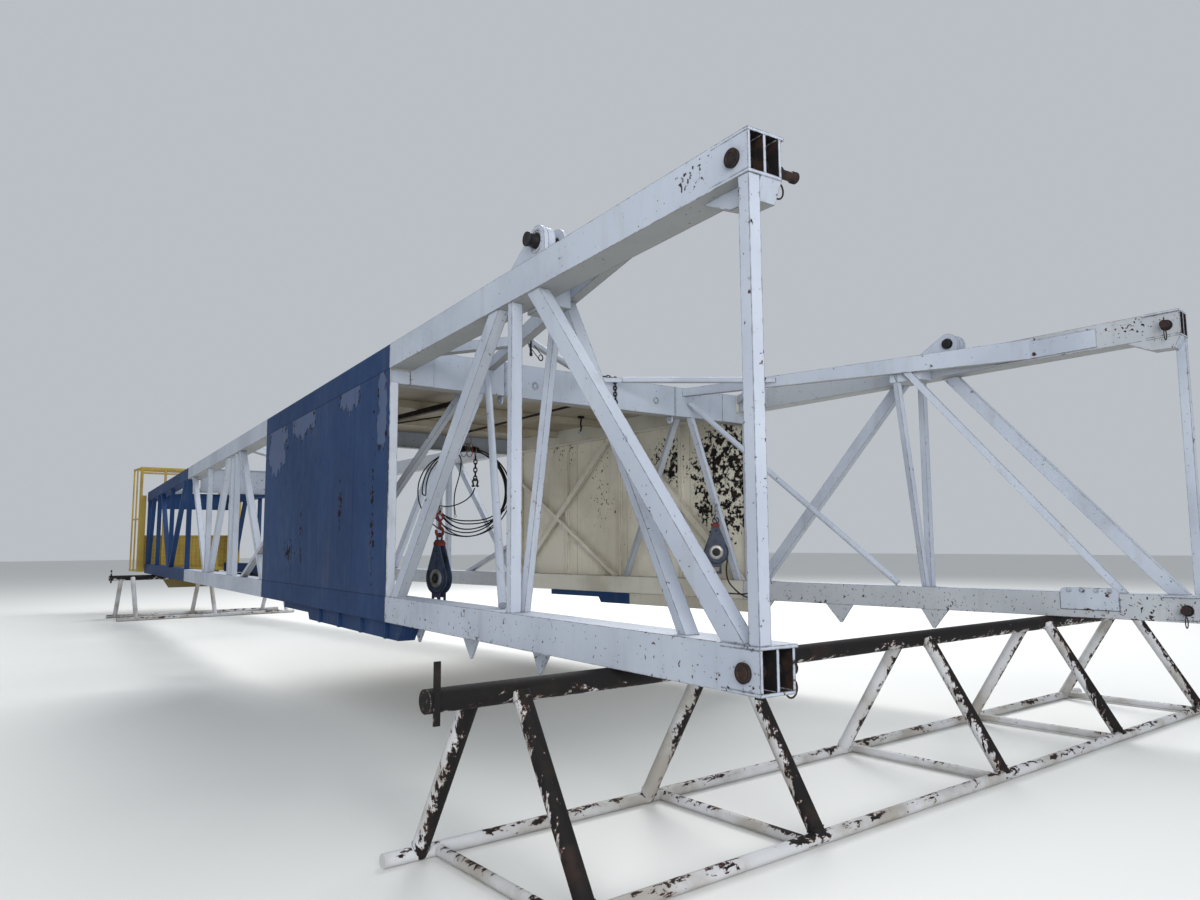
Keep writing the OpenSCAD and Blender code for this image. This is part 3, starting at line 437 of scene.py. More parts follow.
def steel(name, one, other, rough, metal=0.0, scale=9.0):
    """Plain metal or its paint in two tones, dull in spots."""
    k = Mat(name)
    col = k.mix(k.step(k.noise(scale, 5, 0.6), 0.4, 0.66), one, other)
    k.bsdf.inputs["Metallic"].default_value = metal
    dull = k.step(k.noise(30, 4), 0.5, 0.7)
    return k.finish(col, k.add(rough, k.mul(dull, 0.25)), k.mul(dull, 0.3),
                    depth=0.001, shine=0.3)


WHITE = white_paint()
FOOT = white_paint("foot_paint", slotted=True)
BLUE = navy_paint()
BAY = navy_paint("bay_paint", lined="bay")
BOXES = navy_paint("box_paint", lined="box")
WALL = wall_paint()
CREAM = cream_paint()
ROOF = cream_paint("roof_paint", srgb(188, 180, 160), srgb(160, 150, 130))
LINING = cream_paint("lining_paint", white_end=True)
YELLOW = yellow_paint()
# The apron is the same yellow darkened to olive: painted shade.
APRON_SHADED = yellow_paint("apron_shaded_yellow", srgb(122, 106, 50), srgb(96, 83, 40))
CROSS = bare_pipe("black_pipe", keep=0.30)
LEGS = bare_pipe("peeled_pipe", keep=0.56, legs=True)
SKIDS = bare_pipe("ground_pipe", keep=0.85)
PINS = steel("rusty_pin", srgb(20, 16, 17), srgb(48, 33, 27), 0.65)
BLACK = steel("greasy_black", srgb(17, 16, 18), srgb(34, 31, 30), 0.5)
BLOCK = steel("block_paint", srgb(44, 55, 76), srgb(30, 35, 46), 0.45)
ZINC = steel("dull_zinc", srgb(150, 150, 150), srgb(108, 104, 98), 0.38, metal=0.7)
ROPE = steel("black_rope", srgb(12, 12, 13), srgb(27, 26, 26), 0.65, scale=40)
RED = steel("red_paint", srgb(100, 33, 30), srgb(58, 25, 24), 0.6)
PALE = steel("pale_rim", srgb(176, 176, 174), srgb(140, 136, 130), 0.6)
ORANGE = steel("orange_paint", srgb(176, 92, 44), srgb(130, 66, 36), 0.5)

by_slot = {"white_paint": WHITE, "blue_paint": BLUE, "cream_paint": CREAM, "wall_paint": WALL,
           "yellow_paint": YELLOW, "rusty_steel": CROSS, "black_steel": BLACK,
           "worn_white_pipe": LEGS, "red_paint": RED}
by_node = {"foot_pins": PINS, "leg_clevis_cheeks": FOOT, "leg_clevis_caps": FOOT,
           "left_plated_bay_chords": BAY, "right_plated_bay_chords": BAY,
           "ribbed_boxes": BOXES, "roof_plate": ROOF, "roof_ribs": ROOF,
           "left_wall_lattice": LINING, "right_wall_lattice": LINING, "crown_apron": APRON_SHADED,
           "near_trestle_skids": SKIDS, "far_trestle_skids": SKIDS,
           "snatch_blocks": BLOCK, "block_rings": ZINC, "rope_hanger": ZINC}
for part in frame["record"]["subparts"]:
    paints = NODES[part["node"]].data.materials
    paints.clear()
    paints.append(by_node.get(part["node"], by_slot[part["material_slot"]]))

# ---------------------------------------------------------------- mesh pieces
SHARP = 0.62                             # edges that turn more than this aren't smoothed


def circle(n):
    """The angles of n points round a circle."""
    return [TAU * i / n for i in range(n)]


def half_circle(n=12):
    """The same for half a circle with both its ends."""
    return [math.pi * i / n for i in range(n + 1)]


class Piece:
    """Collects solids into one mesh object."""

    def __init__(self):
        self.bm = bmesh.new()

    def block(self, at, x, y, z, size, bevel=0.004):
        """A box with chamfered edges, centred at a point, with its own axes."""
        hx, hy, hz = (v / 2 for v in size)
        b = min(bevel, hx * 0.45, hy * 0.45, hz * 0.45)
        pts = []
        for sx in (-1, 1):
            for sy in (-1, 1):
                for sz in (-1, 1):
                    for cx, cy, cz in ((0, b, b), (b, 0, b), (b, b, 0)):
                        p = at + x * sx * (hx - cx) + y * sy * (hy - cy) + z * sz * (hz - cz)
                        pts.append(self.bm.verts.new(p))
        bmesh.ops.convex_hull(self.bm, input=pts)

    def bar(self, p, q, width, bevel):
        """A square bar from p to q."""
        d = (q - p).normalized()
        side = d.cross(UP).normalized()
        self.block((p + q) / 2, d, side, side.cross(d), ((q - p).length, width, width), bevel)

    def skin(self, rings, closed):
        """Quads between rings of as many points each, with two end faces unless it is closed."""
        count = len(rings[0])
        last = len(rings) if closed else len(rings) - 1
        for i in range(last):
            a, b = rings[i], rings[(i + 1) % len(rings)]
            for k in range(count):
                m = (k + 1) % count
                self.bm.faces.new((a[k], a[m], b[m], b[k]))
        if not closed:
            self.bm.faces.new(list(reversed(rings[0])))
            self.bm.faces.new(rings[-1])

    def sweep(self, path, radius, sides=10, closed=False, twist=0.0, lobes=0, depth=0.0):
        """A tube along a path; radius may be a function of the point's number."""
        n = len(path)
        rings, normal, turned = [], None, 0.0
        for i, p in enumerate(path):
            a = path[(i - 1) % n] if closed or i else p
            b = path[(i + 1) % n] if closed or i < n - 1 else p
            t = (b - a).normalized()
            if normal is None:
                normal = t.orthogonal().normalized()
            normal = (normal - t * normal.dot(t)).normalized()
            other = t.cross(normal)
            if i:
                turned += twist * (p - path[i - 1]).length
            r = radius(i) if callable(radius) else radius
            ring = []
            for w in circle(sides):
                rr = r * (1 - depth * (0.5 - 0.5 * math.cos(lobes * w))) if lobes else r
                w += turned
                offset = p + normal * math.cos(w) * rr + other * math.sin(w) * rr
                ring.append(self.bm.verts.new(offset))
            rings.append(ring)
        self.skin(rings, closed)

    def lathe(self, at, axis, profile, sides=24, closed=False):
        """Turns a profile of (radius, height) about an axis; an open one is capped at both ends."""
        axis = axis.normalized()
        u = axis.orthogonal().normalized()
        v = axis.cross(u)
        rings = []
        for r, h in profile:
            foot = at + axis * h
            if r <= 1e-6:
                rings.append([self.bm.verts.new(foot)])
            else:
                rings.append([self.bm.verts.new(foot + u * math.cos(w) * r + v * math.sin(w) * r)
                              for w in circle(sides)])
        pairs = list(zip(rings, rings[1:])) + ([(rings[-1], rings[0])] if closed else [])
        for a, b in pairs:
            for k in range(sides):
                m = (k + 1) % sides
                if len(a) == 1:
                    self.bm.faces.new((a[0], b[k], b[m]))
                elif len(b) == 1:
                    self.bm.faces.new((a[k], a[m], b[0]))
                else:
                    self.bm.faces.new((a[k], a[m], b[m], b[k]))
        if not closed:
            if len(rings[0]) > 1:
                self.bm.faces.new(list(reversed(rings[0])))
            if len(rings[-1]) > 1:
                self.bm.faces.new(rings[-1])

    def torus(self, at, normal, big, small, sides=10, steps=28, stretch=1.0):
        """A ring about a normal that isn't upright; stretch lengthens it upward."""
        u = (UP - normal * UP.dot(normal)).normalized()
        v = normal.normalized().cross(u)
        path = [at + u * math.cos(w) * big * stretch + v * math.sin(w) * big
                for w in circle(steps)]
        self.sweep(path, small, sides, True)

    def bolt(self, at, n, r):
        """A washer and a hexagonal head."""
        self.lathe(at, n, [(r * 1.5, -0.002), (r * 1.5, 0.003), (r * 1.4, 0.004)], 14)
        head = [(r, 0), (r, r * 0.75), (r * 0.85, r * 0.9), (0, r * 0.92)]
        self.lathe(at + n * 0.004, n, head, 6)

    def weld(self, corners, r=0.006, closed=True):
        """A weld bead round a joint, rippled along its length."""
        path = []
        ends = corners[1:] + corners[:1] if closed else corners[1:]
        for p, q in zip(corners, ends):
            n = max(2, int((q - p).length / 0.02))
            path += [p.lerp(q, i / n) for i in range(n)]
        if not closed:
            path.append(corners[-1])
        self.sweep(path, lambda i: r * (1 + 0.22 * math.sin(i * 2.4) + rng.uniform(-0.12, 0.12)),
                   6, closed)

    def done(self, name, material, slot, *cover):
        """Makes the object; cover names the nodes that it replaces."""
        bmesh.ops.recalc_face_normals(self.bm, faces=self.bm.faces)
        for f in self.bm.faces:
            f.smooth = True
        for e in self.bm.edges:
            if len(e.link_faces) != 2 or e.calc_face_angle(0) > SHARP:
                e.smooth = False
        mesh = bpy.data.meshes.new(name)
        self.bm.to_mesh(mesh)
        self.bm.free()
        mesh.materials.append(material)
        ob = bpy.data.objects.new(name, mesh)
        scene.collection.objects.link(ob)
        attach(ob, "root")
        if cover:
            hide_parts(*cover)
        return ob


def spline(points, steps):
    """A smooth path through the points."""
    out = []
    for i in range(len(points) - 1):
        a, b = points[max(i - 1, 0)], points[i]
        c, d = points[i + 1], points[min(i + 2, len(points) - 1)]
        for k in range(steps):
            t = k / steps
            out.append(0.5 * (2 * b + (c - a) * t + (2 * a - 5 * b + 4 * c - d) * t * t
                              + (3 * b - a - 3 * c + d) * t ** 3))
    return out + [points[-1]]


# ---------------------------------------------------------------- the hanging rope
COIL = mast(0.84, 10.38, 1.73)
COIL_TURN = math.radians(20)
COIL_E = Vector((math.cos(COIL_TURN), -math.sin(COIL_TURN), 0))
COIL_N = Vector((math.sin(COIL_TURN), math.cos(COIL_TURN), 0))
COIL_R = 0.755
SHACKLE = (0.149, 0.135)
ROPE_D, LINE_D = 0.025, 0.022


def coil_point(t, z, n=0.0):
    """Point of the coil's own plane: across it, up, and off it."""
    return COIL + COIL_E * t + UP * z + COIL_N * n


def hanging_rope():
    turns, per, start = 7, 28, -0.26
    # Each turn's radius at its right, lowest and left point; at the top all turns are bunched,
    # and they wind round each other once in lay turns
    right = [0.79, 0.73, 0.76, 0.70, 0.775, 0.68, 0.72, 0.76]
    low = [0.785, 0.81, 0.69, 0.735, 0.56, 0.64, 0.50, 0.70]
    left = [0.56, 0.87, 0.54, 0.72, 0.56, 0.53, 0.62, 0.75]
    bunched, spread, lay = 0.752, 0.026, 6.6
    first = [(SHACKLE[0] - 0.01, SHACKLE[1] - 0.075, 0.0), (0.10, -0.04, 0.012),
             (-0.02, -0.16, 0.02), (-0.22, -0.25, 0.02), (-0.42, -0.265, 0.01),
             (-0.60, -0.205, 0.0), (-0.70, -0.09, 0.0)]
    last = [(-0.45, 0.60, 0.0), (-0.335, 0.675, 0.01), (-0.22, 0.69, 0.02), (-0.13, 0.63, 0.03),
            (-0.10, 0.52, 0.03), (-0.13, 0.28, 0.03), (-0.20, 0.0, 0.03), (-0.215, -0.2, 0.03),
            (-0.20, -0.38, 0.03)]
    ctrl = [coil_point(*p) for p in first]
    for i in range(turns * per):
        g = start + i / per
        turn = math.floor(g)
        j = turn % len(right)
        knots = [bunched, right[j], low[j], left[j], bunched]
        f = (g - turn) * 4
        q = min(int(f), 3)
        w = (1 - math.cos(math.pi * (f - q))) / 2
        wound = TAU * (g + 1) / lay
        r = knots[q] * (1 - w) + knots[q + 1] * w + spread * math.cos(wound)
        ang = TAU * g
        ctrl.append(coil_point(r * math.sin(ang), r * math.cos(ang), spread * math.sin(wound)))
    ctrl += [coil_point(*p) for p in last]
    path = spline(ctrl, 8)
    rope = Piece()
    rope.sweep(path, ROPE_D / 2, 9, twist=36.0, lobes=3, depth=0.18)
    ob = rope.done("hanging_rope", ROPE, "black_steel", "rope_coil")
    end = Piece()
    tip, up = path[-1], (path[-4] - path[-1]).normalized()
    end.lathe(tip - up * 0.035, up, [(0.004, 0), (0.013, 0.006), (0.0155, 0.02),
                                     (0.0155, 0.10), (0.0135, 0.112)], 16)
    end.torus(tip - up * 0.055, COIL_N, 0.022, 0.006, 8, 18)
    ferrule = end.done("rope_ferrule", ZINC, "black_steel")


hanging_rope()

# From the right lower chord up round the right snatch block and back
LINE = [(2.639, 5.280, 0.040), (2.540, 5.285, 0.035), (2.440, 5.310, 0.045),
        (2.350, 5.385, 0.110), (2.260, 5.475, 0.250), (2.235, 5.500, 0.400),
        (2.245, 5.490, 0.565), (2.245, 5.490, 0.675), (2.230, 5.505, 0.750),
        (2.195, 5.545, 0.805), (2.140, 5.600, 0.825), (2.090, 5.655, 0.805),
        (2.050, 5.695, 0.750), (2.035, 5.710, 0.675), (2.035, 5.705, 0.565),
        (2.070, 5.675, 0.405), (2.140, 5.610, 0.190), (2.235, 5.525, 0.110),
        (2.360, 5.430, 0.090), (2.450, 5.395, 0.085), (2.550, 5.390, 0.090),
        (2.630, 5.390, 0.095)]


def slack_line():
    path = spline([mast(*p) for p in LINE], 16)
    line = Piece()
    line.sweep(path, LINE_D / 2, 12, twist=42.0, lobes=6, depth=0.12)
    ob = line.done("slack_line", ROPE, "black_steel", "block_line")


slack_line()


def rope_chain():
    """Rings, chain, shackle and wrappings that hang in the coil from the bunched turns."""
    rings, orange, links = Piece(), Piece(), Piece()
    t, z = SHACKLE[0], 0.735
    ring_r, ring_wire, link_r, link_wire, pitch = 0.085, 0.0085, 0.029, 0.0115, 0.0735
    rings.torus(coil_point(t, z - 0.02), COIL_E, ring_r, ring_wire, 8, 28)
    rings.torus(coil_point(-0.06, 0.70), (COIL_E + COIL_N * 0.5).normalized(), 0.088, 0.008, 8)
    rings.torus(coil_point(0.07, 0.785), (COIL_E - COIL_N * 0.7).normalized(), 0.07, 0.008, 8)
    rings.done("coil_rings", ZINC, "black_steel")
    skew = (COIL_E * 0.9 + COIL_N * 0.35).normalized()
    orange.torus(coil_point(0.045, 0.70), skew, 0.092, 0.008, 8)
    orange.done("orange_ring", ORANGE, "red_paint")
    z -= 0.02 + ring_r - 0.012
    for i in range(6):
        links.torus(coil_point(t, z - 0.040), COIL_N if i % 2 else COIL_E, link_r, link_wire,
                    8, 18, stretch=1.65)
        z -= pitch
    bow = [coil_point(t + 0.045 * math.cos(w), z - 0.03 + 0.05 * math.sin(w))
           for w in half_circle()]
    bow = [coil_point(t + 0.028, z - 0.10)] + bow + [coil_point(t - 0.028, z - 0.10)]
    links.sweep(bow, 0.0165, 10)
    eye = z - 0.105
    for s in (-1, 1):
        links.lathe(coil_point(t + s * 0.042, eye) - COIL_E * 0.012, COIL_E,
                    [(0.016, 0), (0.02, 0.003), (0.02, 0.021), (0.016, 0.024)], 14)
    links.lathe(coil_point(t - 0.065, eye), COIL_E,
                [(0.014, 0), (0.014, 0.012), (0.009, 0.013), (0.009, 0.115), (0.013, 0.116),
                 (0.013, 0.13)], 12)
    wrap_r, sides, lead = 0.050, 14, 1.15
    for start, count in ((-13, 9), (7, 7)):
        wrap = []
        for i in range(count * sides):
            v = TAU * i / sides
            ang = math.radians(start + i / sides * lead)
            r = COIL_R + wrap_r * math.cos(v)
            wrap.append(coil_point(r * math.sin(ang), r * math.cos(ang), wrap_r * math.sin(v)))
        links.sweep(wrap, 0.007, 7)
    links.done("coil_chain", BLACK, "black_steel")


rope_chain()

# ---------------------------------------------------------------- snatch blocks
# Where each hangs, the height of its eye and the azimuth of its faces
BLOCKS = ((mast(2.1408, 5.5990, 0.0), 1.1218, 46), (mast(-2.2453, 5.5715, 0.0), 0.8845, 80))
EYE_TO_SHEAVE, BLOCK_HALF, BLOCK_RIM = 0.446, 0.044, 0.160


def block_dress():
    """Hub rings, bolts, rims and the red bands at the top of the two blocks."""
    hub, band, nut = Piece(), Piece(), Piece()
    for at, eye, az in BLOCKS:
        w = math.radians(az)
        n = Vector((math.sin(w), math.cos(w), 0))
        e = Vector((math.cos(w), -math.sin(w), 0))
        mid = at + UP * (eye - EYE_TO_SHEAVE)
        for s in (-1, 1):
            face = mid + n * s * BLOCK_HALF
            hub.lathe(face, n * s, [(0.100, 0.0), (0.100, 0.004), (0.088, 0.010),
                                    (0.060, 0.010), (0.056, 0.0)], 36, True)
            nut.lathe(face + n * s * 0.012, n * s,
                      [(0.030, 0), (0.030, 0.022), (0.026, 0.027), (0, 0.027)], 6)
            nut.lathe(face, n * s, [(0.054, 0), (0.054, 0.012), (0.040, 0.013)])
            rim = [math.pi * (0.28 + 1.44 * i / 30) for i in range(31)]
            rim = [(BLOCK_RIM * math.sin(v), BLOCK_RIM * math.cos(v)) for v in rim]
            nut.sweep([face + e * x + UP * z + n * s * 0.002 for x, z in rim], 0.006, 6)
            for x, z in ((-0.05, -0.27), (0.05, -0.27), (0.0, 0.30)):
                nut.bolt(face + e * x + UP * z, n * s, 0.011)
        band.block(mid + UP * 0.375, e, n, UP, (0.108, 0.102, 0.055), 0.012)
        band.block(mid + UP * 0.405, e, n, UP, (0.078, 0.084, 0.03), 0.010)
    hub.done("block_hubs", ZINC, "white_paint")
    nut.done("block_bolts", BLACK, "black_steel")
    band.done("block_bands", RED, "red_paint")


block_dress()


# ---------------------------------------------------------------- feet, pins and lugs
def foot_details():
    """Heads, keepers and rings of the foot pins, and the beads of the clevis plates."""
    keep, bead = Piece(), Piece()
    for s in (1, -1):
        n = inward(s)
        for base in (0.0, DEPTH - CHORD_H):
            slant = SLOPE if base else 0
            zp = base + PIN_RISE - slant * PIN_AT
            head = leg(s, PIN_AT, -0.025, zp)
            keep.lathe(head, -n, [(0.046, 0.0), (0.044, 0.006), (0.030, 0.007), (0.026, 0.002),
                                  (0, 0.002)], 28)
            keep.lathe(head + n * 0.014, -n, [(0.0545, 0.0), (0.058, 0.003), (0.058, 0.009),
                                              (0.0545, 0.012)], 28, True)
            for v in (0.6, 2.2, 3.7, 5.3):
                at = head - n * 0.004 + UP * 0.036 * math.sin(v) + along(s) * 0.036 * math.cos(v)
                keep.block(at, along(s), -n, UP, (0.016, 0.010, 0.014))
            tail = leg(s, PIN_AT, CHORD_W + 0.005 + 0.078, zp)
            keep.sweep([tail + UP * (0.07 - 0.014 * i) for i in range(11)], 0.006, 8)
            keep.sweep([tail - UP * (0.06 + 0.052 * (1 - math.cos(v))) + n * 0.046 * math.sin(v)
                        - along(s) * 0.004 for v in circle(24)], 0.0055, 8, True)
            if s == 1 and base:
                spool = [(0.034, -0.004), (0.028, 0.004), (0.028, 0.10), (0.036, 0.107),
                         (0.036, 0.135), (0.030, 0.142), (0, 0.142)]
                keep.lathe(leg(s, PIN_AT, 0.364, zp), n, spool)
            keep.lathe(leg(s, PIN_AT, 0.262, zp), n,
                       [(0.056, 0), (0.056, 0.006), (0.044, 0.006), (0.044, 0)], 28, True)
            a0, a1 = 0.012, CLEVIS_END - 0.008
            for faces in ((CHEEK,), (0.12, 0.12 + CHEEK), (0.24,)):
                for z in (CHEEK, CHORD_H - CHEEK):
                    for o in faces:
                        bead.weld([leg(s, a0, o, base - slant * a0 + z),
                                   leg(s, a1, o, base - slant * a1 + z)], 0.005, False)
    keep.done("foot_pin_keepers", PINS, "rusty_steel")
    bead.done("foot_welds", WHITE, "white_paint")


foot_details()


def chord_plate():
    """A doubler on the inner face of the right lower chord near its foot, with its top bolts."""
    b = Piece()
    a0, a1, z0, z1, r = 0.72, 1.29, 0.085, 0.315, 0.05
    thick, chamfer = 0.015, 0.003
    rim = [Vector((a0, z0)), Vector((a1, z0))]
    for ca, v0 in ((a1 - r, 0.0), (a0 + r, math.pi / 2)):
        corner = [v0 + math.pi / 2 * i / 8 for i in range(9)]
        rim += [Vector((ca + r * math.cos(v), z1 - r + r * math.sin(v))) for v in corner]
    mid = Vector(((a0 + a1) / 2, (z0 + z1) / 2))
    rings = []
    for o, inset in ((-0.004, 0.0), (thick - chamfer, 0.0), (thick, chamfer)):
        ring = []
        for p in rim:
            p = p - mid
            p *= 1 - inset / p.length
            ring.append(b.bm.verts.new(leg(-1, p.x + mid.x, CHORD_W + o, p.y + mid.y)))
        rings.append(ring)
    b.skin(rings, False)
    for a in (0.80, 0.93, 1.07, 1.20):
        b.bolt(leg(-1, a, CHORD_W + thick, 0.285), inward(-1), 0.016)
    lo, hi, off = z0 - 0.002, 0.255, 0.002
    b.weld([leg(-1, a, CHORD_W + 0.001, z) for a, z in
            ((a0 - off, hi), (a0 - off, lo), (a1 + off, lo), (a1 + off, hi))], 0.006, False)
    b.done("chord_plate", WHITE, "white_paint")


chord_plate()


def lug_details():
    """Keepers, bosses, beads and waisted spools of the raising lugs."""
    keep, bead, spool = Piece(), Piece(), Piece()
    a, z = LUG_AT, top(LUG_AT) + LUG_RISE
    for s in (1, -1):
        n = inward(s)
        for o, d in ((0.02, -1), (0.24, 1)):
            keep.lathe(leg(s, a, o, z), n * d,
                       [(0.0665, 0), (0.0665, 0.010), (0.0625, 0.014), (0.0625, 0)], 32, True)
        bead.lathe(leg(s, a, 0.0595, z), n,
                   [(0.058, 0), (0.118, 0), (0.118, 0.064), (0.112, 0.071), (0.058, 0.071)],
                   48, True)
        bead.lathe(leg(s, a, 0.0205, z), -n,
                   [(0.082, 0), (0.082, 0.006), (0.086, 0.009), (0.094, 0.009), (0.098, 0.006),
                    (0.098, 0)], 48, True)
        for o in (0.02, 0.06, 0.2, 0.24):
            ends = [leg(s, a + v, o, top(a + v) + 0.002) for v in (-0.10, 0.42)]
            bead.weld(ends, 0.008, False)
    keep.done("lug_keepers", BLACK, "black_steel")
    for s in (1, -1):
        spool.lathe(leg(s, a, 0.02 - 0.001 + 0.262, z), -inward(s),
                    [(0.0, -0.001), (0.045, 0), (0.054, 0.004), (0.0548, 0.262),
                     (0.0595, 0.264), (0.0595, 0.280), (0.0575, 0.288), (0.0545, 0.302),
                     (0.0535, 0.318), (0.055, 0.332), (0.0585, 0.341), (0.0595, 0.350),
                     (0.0565, 0.3555), (0.022, 0.3555), (0.018, 0.351), (0, 0.350)], 40)
    spool.done("lug_spools", BLACK, "black_steel", "lug_pins")
    bead.done("lug_welds", WHITE, "white_paint")


lug_details()

# ---------------------------------------------------------------- weld beads on the frames
BAR_OUT, BAR_IN = 0.015, 0.115           # outer and inner face of the side bars


def bar_foot(piece, s, at, d, width):
    """Bead where a side bar that runs along d (along, height) meets its chord."""
    if abs(d.y) < 0.2:
        return
    a, z = at
    half = width / 2 / abs(d.y)
    lift = 0.001
    slope = 0 if abs(z - CHORD_H) < 1e-6 else SLOPE
    corners = []
    for e, o in ((-1, BAR_OUT), (1, BAR_OUT), (1, BAR_IN), (-1, BAR_IN)):
        corners.append(leg(s, a + e * half, o, z + lift - e * slope * half))
    piece.weld(corners, 0.0055)


def meet(p, q, low):
    """Where the line from p to q (along, height) crosses its lower or upper chord."""
    (a0, z0), (a1, z1) = p, q
    if low:
        t = (CHORD_H - z0) / (z1 - z0)
    else:
        t = (DEPTH - CHORD_H - SLOPE * a0 - z0) / (z1 - z0 + SLOPE * (a1 - a0))
    return a0 + (a1 - a0) * t, z0 + (z1 - z0) * t


def frame_welds():
    white, navy = Piece(), Piece()
    hi = DEPTH - CHORD_H
    apex = SPLICE_END + 2.665            # where the braces of the crown bay meet
    twin = 13.70                         # middle of the twin posts of the upper white bay
    # Each bar's centre line from one point to another (along, height), and its width
    rows = [(white, (3.06, hi), (5.37, CHORD_H), 0.14),
            (white, (2.53, hi), (0.225, CHORD_H), 0.14),
            (white, (2.85, CHORD_H), (2.85, hi), 0.068),
            (white, (11.27, CHORD_H), (twin - 0.535, 2.5), 0.11),
            (white, (11.14, 0.85), (12.70, CHORD_H), 0.068),
            (white, (twin + 0.5, 2.5), (twin + 2.05, CHORD_H), 0.14),
            (white, (SPLICE_END - 0.49, 2.4), (twin + 2.6, CHORD_H), 0.11),
            (white, (twin - 0.18, 0), (twin - 0.18, 3), 0.085),
            (white, (twin + 0.18, 0), (twin + 0.18, 3), 0.085),
            (white, (twin + 2.47, 0), (twin + 2.47, 3), 0.068),
            (navy, (SPLICE_END + 0.61, 2.3), (apex - 0.155, CHORD_H), 0.11),
            (navy, (apex + 1.745, 2.2), (apex + 0.155, CHORD_H), 0.11),
            (navy, (LEN - 1.05, 2.2), (LEN - 0.32, CHORD_H), 0.11),
            (navy, (SPLICE_END + 0.07, 0), (SPLICE_END + 0.07, 3), 0.085),
            (navy, (apex, 0), (apex, 3), 0.055),
            (navy, (apex + 2.345, 0), (apex + 2.345, 3), 0.068),
            (navy, (LEN - 0.08, 0), (LEN - 0.08, 3), 0.16)]
    for s in (1, -1):
        for piece, p, q, width in rows:
            for low in (True, False):
                at = meet(p, q, low)
                if min(p[0], q[0]) - 0.4 <= at[0] <= max(p[0], q[0]) + 0.4:
                    end = Vector((at[0] + (q[0] - p[0]), at[1] + (q[1] - p[1])))
                    bar_foot(piece, s, at, (end - Vector(at)).normalized(), width)
        c = 0.003
        for piece, a in ((white, WHITE_END), (white, PLATED_END), (navy, SPLICE_END)):
            for z in (0.0, top(a) - CHORD_H):
                o0, o1 = -c / 3, CHORD_W + c / 3
                z0, z1 = z + c, z + CHORD_H - c
                piece.weld([leg(s, a, o0, z0), leg(s, a, o1, z0),
                            leg(s, a, o1, z1), leg(s, a, o0, z1)], 0.0045)
    white.done("frame_welds", WHITE, "white_paint")
    navy.done("crown_bay_welds", BLUE, "blue_paint")


frame_welds()


def wall_details():
    """Seams of the plated bay: between its plates, outside and inside, and along its chords."""
    out, seams = Piece(), Piece()
    for s in (1, -1):
        for y in (6.70, 8.11, 9.37):
            a = y / CP
            z0, z1 = CHORD_H + 0.01, top(a) - CHORD_H - 0.01
            out.weld([leg(s, a, 0.0, z0), leg(s, a, 0.0, z1)], 0.0014, False)
            seams.weld([leg(s, a + 0.05, 0.0105, z0), leg(s, a + 0.05, 0.0105, z1)],
                       0.004, False)
        for low in (True, False):
            out.weld([leg(s, a, 0.0, CHORD_H if low else top(a) - CHORD_H)
                      for a in (WHITE_END + 0.01, PLATED_END - 0.01)], 0.0035, False)
    out.done("wall_seams", BLUE, "blue_paint")
    seams.done("wall_inner_seams", CREAM, "cream_paint")


wall_details()


def roof_bars():
    """Loose bars that lie under the roof ribs."""
    bars, gap = Piece(), 0.0005
    for p, q, w in (((-1.0, 7.1), (-1.30, 10.2), 0.075), ((-0.58, 8.55), (-0.90, 9.54), 0.02),
                    ((0.55, 6.2), (0.50, 9.8), 0.03)):
        ends = [mast(x, y, top(y / CP) - ROOF_DROP - ROOF_PLATE - RIB_DEPTH - w / 2 - gap)
                for x, y in (p, q)]
        bars.bar(*ends, w, w * 0.12)
    bars.done("roof_bars", PINS, "rusty_steel")


roof_bars()

# ---------------------------------------------------------------- fittings of the portal girder
WIRE, WIDE = 0.008, 0.024                # the chain's wire, and half the width of its links


def chain(piece, p, q, n):
    """n oval links from p to q, each turned a quarter to the next."""
    d = (q - p) / n
    side = d.cross(Vector((0.3, 1, 0.1))).normalized()
    other = side.cross(d).normalized()
    half = d.length / 2 + WIRE
    for i in range(n):
        c = p + d * (i + 0.5)
        u = side if i % 2 else other
        piece.sweep([c + d.normalized() * half * math.cos(v) + u * WIDE * math.sin(v)
                     for v in circle(16)], WIRE, 7, True)


def hairpin(piece, base, arm):
    """A loop of wire that hangs along arm from base, with a ring at its end."""
    wide = UP.cross(arm).cross(arm).normalized()
    path = [base + wide * 0.03, base + arm * 0.13 + wide * 0.03]
    path += [base + arm * (0.155 + 0.034 * math.sin(v)) + wide * 0.034 * math.cos(v)
             for v in half_circle()]
    path += [base + arm * 0.13 - wide * 0.03, base - wide * 0.03]
    piece.sweep(path, 0.0045, 7)
    piece.torus(base + arm * 0.155, arm.cross(wide), 0.028, 0.004, 7, 18)


